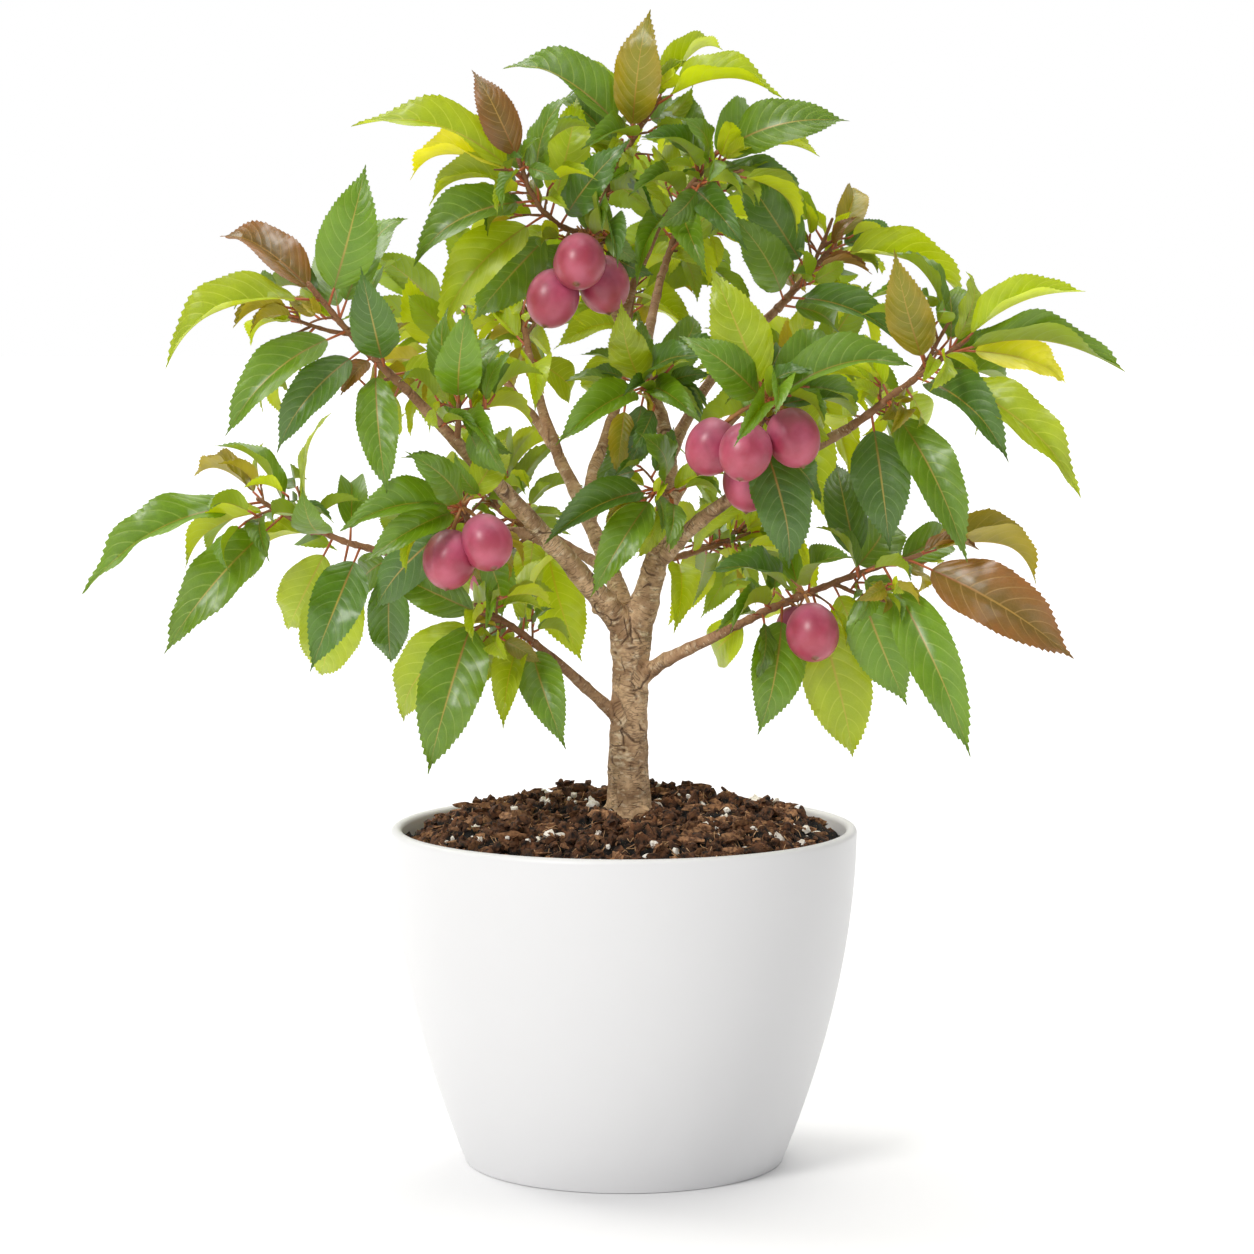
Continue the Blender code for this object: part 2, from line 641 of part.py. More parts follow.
def joinMass(name, shapes):
    """The mass as one closed solid: EXACT first, then MANIFOLD, then with fewer leaves."""
    while True:
        for solver in ("EXACT", "MANIFOLD"):
            mass = unite(name, shapes, solver)
            if keepMain(mass) and spansAll(mass, shapes):
                mass.name = name
                return mass
            bpy.data.objects.remove(mass)
        shapes = shapes[:-1]


def spansAll(mass, shapes):
    """True where the union still reaches as far as its pieces do."""
    for axis in range(3):
        spots = [spot[axis] * mm for (points, _), _ in shapes for spot in points]
        kept = [vertex.co[axis] for vertex in mass.data.vertices]
        if min(kept) > min(spots) + 0.001 or max(kept) < max(spots) - 0.001:
            return False
    return True


# Leaves and fruit

def leafShape(leaf, grown=0.0, start=0.0):
    """An arched leaf of three-cornered rings, flat above and ridged below, from start of its petiole."""
    base, chord, normal, length = leaf
    side = chord.cross(normal)
    halfWidth = min(length * (1 - petioleShare) * leafWidthShare, leafWidest) / 2
    arch = leafArch[0] + (leafArch[1] - leafArch[0]) * math.sqrt(max(1 - chord.z**2, 0.0))
    cuts = [(petioleShare * start, 0.0)]
    cuts += [(petioleShare + (1 - petioleShare) * share, wide) for share, wide in bladeCuts]
    spots = []
    for share, wide in cuts:
        middle = base + chord * (length * share) + normal * (length * arch * math.sin(math.pi * share))
        slope = arch * math.pi * math.cos(math.pi * share)
        lift = (normal - chord * slope).normalized()
        reach = halfWidth * wide + grown if wide else petioleRadius + grown / 2
        ridge = (leafThickness if wide else petioleRadius * 1.3) + grown / 2
        top = lift * (grown / 2 + (0.0 if wide else petioleRadius * 0.6))
        spots += [middle - side * reach + top, middle + side * reach + top, middle - lift * ridge]
    spots.append(base + chord * (length + grown))
    faces = [(0, 1, 2)]
    for ring in range(len(cuts) - 1):
        low, high = ring * 3, ring * 3 + 3
        for index in range(3):
            after = (index + 1) % 3
            faces += [(low + index, high + index, low + after), (low + after, high + index, high + after)]
    last = (len(cuts) - 1) * 3
    tip = len(spots) - 1
    faces += [(last + index, tip, last + (index + 1) % 3) for index in range(3)]
    return spots, faces


def headingVector(heading, lean):
    turn, tilt = math.radians(heading), math.radians(lean)
    flat = Vector((math.cos(turn), 0.0, math.sin(turn)))
    return flat * math.cos(tilt) + front * math.sin(tilt)


def bladeNormal(chord, outward, roll):
    """The blade's upper side: 0 turns it outward, 90 to the sky."""
    angle = math.radians(roll)
    wanted = outward * math.cos(angle) + up * math.sin(angle)
    across = wanted - chord * wanted.dot(chord)
    if across.length < 0.1:
        across = outward - chord * outward.dot(chord)
    return across.normalized()


def plumShape(centre, axis, grown=0.0):
    """An egg-shaped plum, its stalk end along the axis."""
    across = axis.orthogonal().normalized()
    side = axis.cross(across)
    rings, sides = 5, 8
    spots = [centre - axis * (plumHalfLength + grown)]
    for ring in range(1, rings):
        angle = math.pi * ring / rings
        middle = centre - axis * ((plumHalfLength + grown) * math.cos(angle))
        radius = (plumRadius + grown) * math.sin(angle)
        for index in range(sides):
            turn = math.tau * index / sides
            spots.append(middle + (across * math.cos(turn) + side * math.sin(turn)) * radius)
    spots.append(centre + axis * (plumHalfLength + grown))
    faces = []
    for index in range(sides):
        after = (index + 1) % sides
        faces.append((0, 1 + after, 1 + index))
        for ring in range(rings - 2):
            low, high = 1 + ring * sides, 1 + (ring + 1) * sides
            faces.append((low + index, low + after, high + after, high + index))
        last = 1 + (rings - 2) * sides
        faces.append((last + index, last + after, len(spots) - 1))
    return spots, faces


class Space:
    """What is already grown, so that nothing new touches it."""

    def __init__(self):
        self.taken = []

    def add(self, owner, shape):
        low = [min(spot[axis] for spot in shape[0]) for axis in range(3)]
        high = [max(spot[axis] for spot in shape[0]) for axis in range(3)]
        self.taken.append((owner, low, high, treeOf(shape)))

    def free(self, whole, blade, owner):
        """True where whole clears the other masses and limbs, and blade clears its own mass."""
        shapes = {True: (blade, treeOf(blade)), False: (whole, treeOf(whole))}
        for other, low, high, tree in self.taken:
            shape, mine = shapes[other == owner]
            apart = any(
                min(spot[axis] for spot in shape[0]) > high[axis]
                or max(spot[axis] for spot in shape[0]) < low[axis]
                for axis in range(3)
            )
            if not apart and mine.overlap(tree):
                return False
        return True


def startOf(plan, limbs):
    """Where a mass's stem starts: past its bough's tip, or outside the bough's side."""
    points, radii, _, _ = limbs[plan["bough"]]
    share = plan.get("at", 1.0)
    spot, heading = onLine(points, share)
    if share == 1.0:
        return spot + heading * clearance, heading
    radius = radii[0] + (radii[-1] - radii[0]) * share
    outward = (Vector(plan["tip"]) - spot).normalized()
    outward = (outward - heading * outward.dot(heading) * 0.5).normalized()
    sine = math.sqrt(max(1 - outward.dot(heading) ** 2, 0.2))
    return spot + outward * ((radius + clearance) / sine + 0.1), outward


def growStem(name, plan, limbs, space):
    """The stem of a mass, with its side twigs and the stalks and plums of a fruiting one."""
    start, heading = startOf(plan, limbs)
    tip = Vector(plan["tip"])
    bow = Vector(plan.get("bow", (0, 0, 0)))
    points = curvePoints(start, tip, bow, bow, stemSteps)
    first = stemRadius if "at" in plan else min(limbs[plan["bough"]][1][-1], stemRadius + 0.6)
    last = spurTipRadius if plan.get("fruit") and "at" in plan else stemTipRadius
    shapes = [(tubeMesh(points, taper(first, last, len(points)), 3, heading), "bark")]
    shoots = [points]
    rng = random.Random(plan["seed"])
    for twig in range(plan.get("twigs", 0)):
        share = 0.25 + 0.6 * (twig + 0.5) / plan["twigs"]
        root, along = onLine(points, share)
        across = along.orthogonal().normalized()
        turn = math.radians(goldenAngle * twig + rng.uniform(0, 360))
        radial = across * math.cos(turn) + along.cross(across) * math.sin(turn)
        outward = Vector((root.x, root.y, 0.0)).normalized()
        lead = (along * 0.6 + radial * 0.7 + outward * 0.5).normalized()
        end = root + lead * rng.uniform(*twigLength)
        line = curvePoints(root, end, up * -2, up * -1, 3)
        shape = tubeMesh(line, taper(twigRadius, twigRadius * 0.7, len(line)), 3)
        if space.free(shape, limbShape(line[1:], [twigRadius + spare] * 3, 3), name):
            shapes.append((shape, "bark"))
            shoots.append(line)
    for centre in plan.get("fruit", ()):
        middle = Vector(centre)
        foot, _ = onLine(points, min(range(1, 21), key=lambda n: (onLine(points, n / 20)[0] - middle).length) / 20)
        if "at" in plan:
            foot = points[-1]
        axis = ((foot - middle).normalized() + up * 0.9).normalized()
        crown = middle + axis * (plumHalfLength - 3.0)
        stalk = curvePoints(foot, crown, up * 2, up * 3, 3)
        shapes.append((tubeMesh(stalk, [stalkRadius] * 4, 3), "bark"))
        shapes.append((plumShape(middle, axis), "plum"))
        space.add(name, plumShape(middle, axis, 0.4))
    for shape, tint in shapes:
        if tint == "bark":
            space.add(name, shape)
    return shapes, shoots


def tryLeaf(name, leaf, tint, space, shapes):
    """Adds the leaf to the mass if its room is free."""
    whole = leafShape(leaf, grown=spare)
    blade = leafShape(leaf, grown=spare, start=0.7)
    if min(spot.z for spot in whole[0]) < potHeight + 14.0:
        return False
    if not space.free(whole, blade, name):
        return False
    shapes.append((leafShape(leaf), tint))
    space.add(name, leafShape(leaf, start=0.4))
    return True


def trueLeaf(seen, lean, tint):
    """A leaf's length and lean, from the length that the front shows. Young leaves are small."""
    length = seen * 1.04 if tint == "bronze" else max(seen, (seen + fullLeaf) / 2)
    if length <= seen * 1.05:
        return length, lean
    return length, math.copysign(math.degrees(math.acos(seen / length)), lean)


def growShown(name, plan, shoots, space, shapes):
    """The leaves of the list. One that has no room is turned a little before it is left out."""
    rng = random.Random(plan["seed"] + 1000)
    for share, heading, seen, roll, way, tint in plan.get("leaves", ()):
        base, _ = onLine(shoots[0], share)
        swing = rng.uniform(-18, 18)
        length, lean = trueLeaf(seen, way, tint)
        for change in (0, 8, -8, 16, -16, 24, -24, 32, -32, 44, -44, 60, -60):
            chord = headingVector(heading + change * 0.15, lean + change)
            turn = math.radians(swing + change * 0.5)
            outward = Vector((math.sin(turn), -math.cos(turn), 0.0))
            leaf = (base, chord, bladeNormal(chord, outward, roll * 0.85), length)
            if tryLeaf(name, leaf, tint, space, shapes):
                break


def growFill(name, plan, shoots, space, shapes):
    """The seeded rule: leaves spiral along the stem and its twigs, spread and sag outward."""
    rng = random.Random(plan["seed"])
    count = plan.get("fill", 0)
    for number in range(count):
        shoot = shoots[number % len(shoots)]
        for attempt in range(9):
            share = rng.uniform(0.2, 1.0)
            base, along = onLine(shoot, share)
            across = along.orthogonal().normalized()
            turn = math.radians(goldenAngle * number + rng.uniform(-30, 30) + attempt * 40)
            radial = across * math.cos(turn) + along.cross(across) * math.sin(turn)
            spread = fillSpread[1] + (fillSpread[0] - fillSpread[1]) * share + rng.uniform(-12, 12)
            angle = math.radians(spread)
            sag = up * rng.uniform(0.15, 0.55)
            chord = (along * math.cos(angle) + radial * math.sin(angle) - sag).normalized()
            if "leaves" in plan:
                chord.y = abs(chord.y)  # the front keeps to the listed leaves
            outward = Vector((base.x, base.y, 0.0)).normalized()
            length = rng.uniform(*fillLength)
            leaf = (base, chord, bladeNormal(chord, outward, rng.uniform(20, 65)), length)
            end = base + chord * length - crownCentre
            if sum((end[axis] / crownReach[axis]) ** 2 for axis in range(3)) > 1:
                continue
            tint = rng.choice(("green", "green", "deep", "lime", "lime"))
            if tryLeaf(name, leaf, tint, space, shapes):
                break


def makeFoliage(limbs):
    """Every mass: first all stems and plums, then the shown leaves, then the fill."""
    space = Space()
    for name, limb in limbs.items():
        space.add(name, limbShape(*limb, extra=spare * 0.6))
    grown = {}
    for name, plan in masses.items():
        grown[name] = growStem("foliage_" + name, plan, limbs, space)
    for grow in (growShown, growFill):
        for name, plan in masses.items():
            shapes, shoots = grown[name]
            grow("foliage_" + name, plan, shoots, space, shapes)
    for name, (shapes, _) in grown.items():
        joinMass("foliage_" + name, shapes)


def clearScene():
    for thing in list(bpy.data.objects):
        bpy.data.objects.remove(thing)


def main():
    clearScene()
    makePot()
    makeSoil()
    makeFoliage(makeLimbs())


main()
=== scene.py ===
# Plum tree in a white pot: its bark, leaves, plums, soil and studio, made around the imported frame.
# Growth is worked out in millimetres, like the solids, and scaled where a mesh is made.
import json
import math
import random
import bpy
import numpy as np
from mathutils import Matrix, Vector, noise
from mathutils.bvhtree import BVHTree
from mathutils.kdtree import KDTree

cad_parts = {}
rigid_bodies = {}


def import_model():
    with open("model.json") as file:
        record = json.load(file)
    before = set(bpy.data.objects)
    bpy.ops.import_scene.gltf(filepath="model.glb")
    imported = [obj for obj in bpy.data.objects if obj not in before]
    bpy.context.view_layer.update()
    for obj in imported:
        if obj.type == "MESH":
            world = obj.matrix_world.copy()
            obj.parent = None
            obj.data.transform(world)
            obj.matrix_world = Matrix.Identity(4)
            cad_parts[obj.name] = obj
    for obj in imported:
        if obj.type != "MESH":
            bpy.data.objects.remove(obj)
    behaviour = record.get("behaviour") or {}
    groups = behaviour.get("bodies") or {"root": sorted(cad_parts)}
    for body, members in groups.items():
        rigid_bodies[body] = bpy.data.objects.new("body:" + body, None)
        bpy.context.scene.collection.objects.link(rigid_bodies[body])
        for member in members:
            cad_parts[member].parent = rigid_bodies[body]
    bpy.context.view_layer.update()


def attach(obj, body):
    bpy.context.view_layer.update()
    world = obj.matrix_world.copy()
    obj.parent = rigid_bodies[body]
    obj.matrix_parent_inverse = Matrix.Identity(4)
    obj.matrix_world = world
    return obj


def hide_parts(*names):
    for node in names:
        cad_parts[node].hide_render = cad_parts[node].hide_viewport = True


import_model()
bpy.ops.object.select_all(action="DESELECT")
mm = 0.001
up = Vector((0.0, 0.0, 1.0))
noise.seed_set(1)  # without it noise_vector differs from run to run
front = Vector((0.0, -1.0, 0.0))


# Camera and studio

camera = dict(place=(0.0019, -2.383, 0.5627), tilt=84.839, lens=106.33, sensor=36.0)

studio = dict(
    view="Standard",
    floorSize=60.0, floorColour=(0.72, 0.722, 0.732), floorGlow=0.05,
    skySeen=1.0, skyLight=0.44,
    lamps=(
        dict(name="key", place=(-1.20, -1.55, 1.90), strength=1.8, width=18, tint=(1.0, 0.985, 0.955)),
        dict(name="rim", place=(-1.5, 1.0, 2.2), strength=1.2, width=26, tint=(1.0, 0.99, 0.96)),
        dict(name="back", place=(0.35, 0.80, 2.7), strength=2.5, width=60, tint=(1.0, 0.985, 0.94)),
    ),
    aim=(0.0, 0.0, 0.40),
)


def placeCamera():
    tilt = (math.radians(camera["tilt"]), 0, 0)
    bpy.ops.object.camera_add(location=camera["place"], rotation=tilt)
    made = bpy.context.object
    made.name = "camera"
    made.data.lens = camera["lens"]
    made.data.sensor_width = camera["sensor"]
    bpy.context.scene.camera = made


def lightStudio():
    world = bpy.data.worlds.new("white studio")
    world.use_nodes = True
    tree = world.node_tree
    sky = tree.nodes["Background"]
    sky.inputs["Color"].default_value = (1, 1, 1, 1)
    path = tree.nodes.new("ShaderNodeLightPath")
    strength = mapRange(tree, path.outputs["Is Camera Ray"], 0.0, 1.0, studio["skyLight"], studio["skySeen"])
    tree.links.new(strength, sky.inputs["Strength"])
    bpy.context.scene.world = world
    for lamp in studio["lamps"]:
        aim = Vector(studio["aim"]) - Vector(lamp["place"])
        turn = aim.to_track_quat("-Z", "Y").to_euler()
        bpy.ops.object.light_add(type="SUN", location=lamp["place"], rotation=turn)
        made = bpy.context.object
        made.name = lamp["name"] + "_lamp"
        made.data.angle = math.radians(lamp["width"])
        made.data.energy = lamp["strength"]
        made.data.color = lamp["tint"]
    bpy.context.scene.view_settings.view_transform = studio["view"]


def layFloor():
    bpy.ops.mesh.primitive_plane_add(size=studio["floorSize"])
    floor = bpy.context.object
    floor.name = "floor"
    pale, tree, shader = newMaterial("pale floor", 0.6)
    grain = noiseAt(tree, objectPlace(tree), 3.0, 2.0)
    colour = mixColour(tree, grain, studio["floorColour"], [c * 0.985 for c in studio["floorColour"]])
    tree.links.new(colour, shader.inputs["Base Color"])
    shader.inputs["Emission Color"].default_value = (1, 1, 1, 1)
    shader.inputs["Emission Strength"].default_value = studio["floorGlow"]
    floor.data.materials.append(pale)


# Node helpers

def newMaterial(name, roughness):
    made = bpy.data.materials.new(name)
    made.use_nodes = True
    shader = made.node_tree.nodes["Principled BSDF"]
    shader.inputs["Roughness"].default_value = roughness
    return made, made.node_tree, shader


def addNode(tree, kind, inputs=(), **settings):
    made = tree.nodes.new("ShaderNode" + kind)
    for name, value in settings.items():
        setattr(made, name, value)
    for name, value in dict(inputs).items():
        if isinstance(value, bpy.types.NodeSocket):
            tree.links.new(value, made.inputs[name])
        elif isinstance(made.inputs[name].default_value, float):
            made.inputs[name].default_value = value
        else:
            room = len(made.inputs[name].default_value)
            made.inputs[name].default_value = (*value, 1.0)[:room]
    return made


def mixColour(tree, share, first, second):
    return addNode(tree, "Mix", {0: share, 6: first, 7: second}, data_type="RGBA").outputs[2]


def maths(tree, operation, *values):
    return addNode(tree, "Math", dict(enumerate(values)), operation=operation).outputs[0]


def mapRange(tree, value, low, high, first=0.0, last=1.0, smooth=False):
    kind = "SMOOTHSTEP" if smooth else "LINEAR"
    inputs = {"Value": value, "From Min": low, "From Max": high, "To Min": first, "To Max": last}
    return addNode(tree, "MapRange", inputs, interpolation_type=kind).outputs[0]


def noiseAt(tree, place, scale, detail=3.0, stretch=None):
    if stretch:
        place = addNode(tree, "Mapping", {"Vector": place, "Scale": stretch}).outputs[0]
    return addNode(tree, "TexNoise", {"Vector": place, "Scale": scale, "Detail": detail}).outputs[0]


def cellsAt(tree, place, scale, feature="F1", stretch=None):
    if stretch:
        place = addNode(tree, "Mapping", {"Vector": place, "Scale": stretch}).outputs[0]
    return addNode(tree, "TexVoronoi", {"Vector": place, "Scale": scale}, feature=feature)


def objectPlace(tree):
    return addNode(tree, "TexCoord").outputs["Object"]


def attribute(tree, name):
    return addNode(tree, "Attribute", attribute_name=name)


def bump(tree, height, strength, distance, under=None):
    inputs = {"Height": height, "Strength": strength, "Distance": distance}
    if under:
        inputs["Normal"] = under
    return addNode(tree, "Bump", inputs).outputs[0]


# Leaf looks: upper side by the midrib and towards the margin, under side, veins

leafLooks = {
    "green": dict(upper=(0.115, 0.265, 0.003), rim=(0.170, 0.325, 0.003), under=(0.50, 0.62, 0.006),
                  vein=(0.50, 0.62, 0.10), glow=0.50),
    "deep": dict(upper=(0.058, 0.170, 0.008), rim=(0.085, 0.215, 0.006), under=(0.42, 0.55, 0.010),
                 vein=(0.36, 0.50, 0.14), glow=0.46),
    "lime": dict(upper=(0.325, 0.470, 0.004), rim=(0.420, 0.520, 0.004), under=(0.80, 0.85, 0.006),
                 vein=(0.78, 0.83, 0.12), glow=0.58),
    "yellow": dict(upper=(0.580, 0.600, 0.005), rim=(0.680, 0.620, 0.006), under=(0.90, 0.87, 0.008),
                   vein=(0.90, 0.80, 0.14), glow=0.62),
    "olive": dict(upper=(0.240, 0.290, 0.008), rim=(0.430, 0.330, 0.014), under=(0.68, 0.58, 0.020),
                  vein=(0.76, 0.62, 0.14), glow=0.56),
    "bronze": dict(upper=(0.200, 0.150, 0.010), rim=(0.370, 0.155, 0.020), under=(0.54, 0.30, 0.04),
                   vein=(0.66, 0.44, 0.12), glow=0.50),
}
leafFinish = dict(
    roughness=0.37, underRoughness=0.55, midrib=(0.70, 0.45, 0.08), ribBase=(0.42, 0.080, 0.035),
    shine=1.0, coat=0.70, coatRoughness=0.27,
    pairs=10.0, sweep=2.2, arc=1.5, veinWidth=0.080, tone=0.40, quilt=0.00045,
)


def leafMaterial(tint):
    look = leafLooks[tint]
    made, tree, shader = newMaterial("leaf " + tint, leafFinish["roughness"])
    shader.inputs["Specular IOR Level"].default_value = leafFinish["shine"]
    shader.inputs["Coat Weight"].default_value = leafFinish["coat"]
    shader.inputs["Coat Roughness"].default_value = leafFinish["coatRoughness"]
    place = addNode(tree, "SeparateXYZ", {0: addNode(tree, "UVMap", uv_map="blade").outputs[0]})
    along, across = place.outputs[0], place.outputs[1]
    hand = maths(tree, "SUBTRACT", across, 0.5)
    out = maths(tree, "MULTIPLY", maths(tree, "ABSOLUTE", hand), 2.0)
    # veins leave the midrib in turn on the left and right, and sweep forward to the margin
    lag = maths(tree, "MULTIPLY", maths(tree, "POWER", out, leafFinish["arc"]), leafFinish["sweep"])
    step = maths(tree, "MULTIPLY", maths(tree, "GREATER_THAN", hand, 0.0), 0.45)
    run = maths(tree, "SUBTRACT", maths(tree, "MULTIPLY", along, leafFinish["pairs"]), lag)
    beat = maths(tree, "PINGPONG", maths(tree, "ADD", run, step), 0.5)
    vein = mapRange(tree, beat, 0.0, leafFinish["veinWidth"], 1.0, 0.0, smooth=True)
    vein = maths(tree, "MULTIPLY", vein, mapRange(tree, out, 0.55, 1.0, 1.0, 0.25))
    ribWidth = mapRange(tree, along, 0.0, 1.0, 0.062, 0.018)
    rib = mapRange(tree, maths(tree, "DIVIDE", out, ribWidth), 0.5, 1.0, 1.0, 0.0, smooth=True)
    under = attribute(tree, "under").outputs["Fac"]
    tone = attribute(tree, "tone").outputs["Fac"]
    mottle = noiseAt(tree, objectPlace(tree), 90.0, 2.0)
    shade = maths(tree, "MULTIPLY_ADD", maths(tree, "ADD", tone, mottle), leafFinish["tone"], 1 - leafFinish["tone"])
    flush = mapRange(tree, maths(tree, "MULTIPLY_ADD", mottle, 0.9, out), 0.60, 1.45)
    base = mixColour(tree, under, mixColour(tree, flush, look["upper"], look["rim"]), look["under"])
    base = addNode(tree, "HueSaturation", {"Color": base, "Value": shade, "Fac": 1.0}).outputs[0]
    net = cellsAt(tree, addNode(tree, "UVMap", uv_map="blade").outputs[0], 34.0, "DISTANCE_TO_EDGE",
                  stretch=(1.0, 0.55, 1.0)).outputs[0]
    base = mixColour(tree, mapRange(tree, net, 0.0, 0.10, 0.13, 0.0), base, look["vein"])
    veined = mixColour(tree, maths(tree, "MULTIPLY", vein, 0.62), base, look["vein"])
    midrib = mixColour(tree, mapRange(tree, along, 0.05, 0.40), leafFinish["ribBase"], leafFinish["midrib"])
    colour = mixColour(tree, maths(tree, "MULTIPLY", rib, 0.90), veined, midrib)
    tree.links.new(colour, shader.inputs["Base Color"])
    gloss = mapRange(tree, under, 0.0, 1.0, leafFinish["roughness"], leafFinish["underRoughness"])
    tree.links.new(maths(tree, "MULTIPLY_ADD", mottle, 0.12, gloss), shader.inputs["Roughness"])
    # the skin bulges between veins on the upper side and the veins stand out below
    swell = maths(tree, "POWER", maths(tree, "MULTIPLY", beat, 2.0), 0.6)
    swell = maths(tree, "MULTIPLY", swell, mapRange(tree, out, 0.0, 0.15))
    swell = maths(tree, "MULTIPLY_ADD", mapRange(tree, net, 0.0, 0.12), 0.07, swell)
    way = mapRange(tree, under, 0.0, 1.0, 1.0, -0.6)
    lift = maths(tree, "MULTIPLY", swell, way)
    tree.links.new(bump(tree, lift, 0.75, leafFinish["quilt"]), shader.inputs["Normal"])
    glow = addNode(tree, "BsdfTranslucent", {"Color": mixColour(tree, 0.75, veined, look["under"])})
    blend = addNode(tree, "MixShader", {0: look["glow"], 1: shader.outputs[0], 2: glow.outputs[0]})
    tree.links.new(blend.outputs[0], tree.nodes["Material Output"].inputs["Surface"])
    return made


# Bark: its pattern follows each limb, by a place along and around it that its mesh holds

barkLook = dict(
    old=(0.680, 0.455, 0.265), oldDark=(0.330, 0.190, 0.095), pale=(0.96, 0.80, 0.57),
    young=(0.210, 0.115, 0.055), shoot=(0.31, 0.120, 0.045), crack=(0.085, 0.040, 0.020),
)


def barkMaterial():
    made, tree, shader = newMaterial("plum bark", 0.74)
    grain = attribute(tree, "grain").outputs["Vector"]
    age = attribute(tree, "age").outputs["Fac"]
    relief = attribute(tree, "relief").outputs["Fac"]
    coarse = noiseAt(tree, grain, 0.09, 4.0)
    worn = noiseAt(tree, grain, 0.24, 7.0, stretch=(0.60, 0.60, 1.2))
    fine = noiseAt(tree, grain, 1.1, 4.0, stretch=(1.0, 1.0, 0.6))
    grit = noiseAt(tree, grain, 0.42, 6.0, stretch=(0.8, 0.8, 1.5))
    wood = mixColour(tree, mapRange(tree, coarse, 0.36, 0.62), barkLook["oldDark"], barkLook["old"])
    wood = mixColour(tree, mapRange(tree, grit, 0.50, 0.36, 0.0, 0.55), wood, barkLook["oldDark"])
    wood = mixColour(tree, mapRange(tree, worn, 0.55, 0.72, 0.0, 0.70), wood, barkLook["pale"])
    # fine wrinkles lie around the limb in patches, and a few long lines sweep over it
    folds = maths(tree, "PINGPONG", maths(tree, "MULTIPLY", noiseAt(tree, grain, 0.075, 3.0, (0.5, 0.5, 1.8)), 10.0), 0.5)
    patch = mapRange(tree, noiseAt(tree, grain, 0.10, 2.0), 0.38, 0.52)
    rings = maths(tree, "MULTIPLY", mapRange(tree, folds, 0.0, 0.17, 1.0, 0.0), patch)
    middle = maths(tree, "ABSOLUTE", maths(tree, "SUBTRACT", noiseAt(tree, grain, 0.034, 1.0), 0.5))
    where = mapRange(tree, noiseAt(tree, grain, 0.060, 2.0), 0.50, 0.56)
    crack = maths(tree, "MULTIPLY", mapRange(tree, middle, 0.004, 0.012, 1.0, 0.0), where)
    wood = mixColour(tree, maths(tree, "MULTIPLY", rings, 0.62), wood, barkLook["crack"])
    wood = mixColour(tree, maths(tree, "MULTIPLY", crack, 0.85), wood, barkLook["crack"])
    twig = mixColour(tree, fine, barkLook["young"], barkLook["shoot"])
    colour = mixColour(tree, mapRange(tree, age, 2.4, 5.5), twig, wood)
    spots = cellsAt(tree, grain, 0.25, stretch=(0.55, 0.55, 1.9)).outputs["Distance"]
    lenticel = mapRange(tree, spots, 0.08, 0.15, 1.0, 0.0)
    dash = mixColour(tree, mapRange(tree, age, 5.0, 8.0), barkLook["pale"], barkLook["crack"])
    colour = mixColour(tree, maths(tree, "MULTIPLY", lenticel, 0.6), colour, dash)
    # darker in the hollows of the relief, partly the real dark of the cracks and partly painted shade, and paler on the
    # raised parts as painted light
    colour = mixColour(tree, mapRange(tree, relief, -0.3, -1.0, 0.0, 0.80), colour, barkLook["crack"])
    colour = mixColour(tree, mapRange(tree, relief, 0.3, 1.0, 0.0, 0.35), colour, barkLook["pale"])
    colour = mixColour(tree, mapRange(tree, fine, 0.55, 0.72, 0.0, 0.30), colour, barkLook["oldDark"])
    tree.links.new(colour, shader.inputs["Base Color"])
    height = maths(tree, "MULTIPLY_ADD", fine, 0.40, maths(tree, "MULTIPLY_ADD", rings, -0.6, grit))
    height = maths(tree, "SUBTRACT", maths(tree, "MULTIPLY_ADD", lenticel, 0.3, height), crack)
    tree.links.new(bump(tree, height, 0.8, 0.0008), shader.inputs["Normal"])
    return made


def stalkMaterial(name, first, last):
    made, tree, shader = newMaterial(name, 0.48)
    streak = noiseAt(tree, objectPlace(tree), 260.0, 2.0)
    tree.links.new(mixColour(tree, streak, first, last), shader.inputs["Base Color"])
    tree.links.new(bump(tree, streak, 0.3, 0.0002), shader.inputs["Normal"])
    return made


# The plant's plan, in millimetres and degrees

clearance = 0.3
potRule = dict(height=218.5, rimRadius=151.0, footRadius=103.6, belly=1.87, wall=7.4, floor=8.0, lip=3.6)
trunk = dict(
    foot=Vector((3.0, 0.0, 221.7)), top=Vector((5.0, 0.0, 353.0)), bow=Vector((-1.0, 0.0, 0.0)),
    radius=11.6, taper=3.8, fade=38.0, flare=3.4, flareFade=7.0, sides=14,
)
leafRule = dict(
    petiole=0.14, stalk=0.65, width=0.50, widest=45.0, arch=(0.06, 0.15), ridge=1.5,
    cuts=((0.22, 0.82), (0.62, 0.88)), full=92.0, fillLength=(60.0, 86.0), spread=(48.0, 76.0),
    goldenAngle=137.5, spare=1.0,
)
twigRule = dict(first=2.1, last=1.4, spur=2.2, length=(32.0, 48.0), radius=1.4)
sprayRule = dict(
    count=7, backCount=9, reach=(12.0, 26.0), length=(26.0, 50.0), radius=0.85,
    tints=("green", "green", "deep", "lime", "lime", "olive"),
)
plum = dict(radius=17.3, halfLength=20.2)
crown = dict(centre=Vector((-15.0, 20.0, 486.0)), reach=Vector((318.0, 236.0, 238.0)))

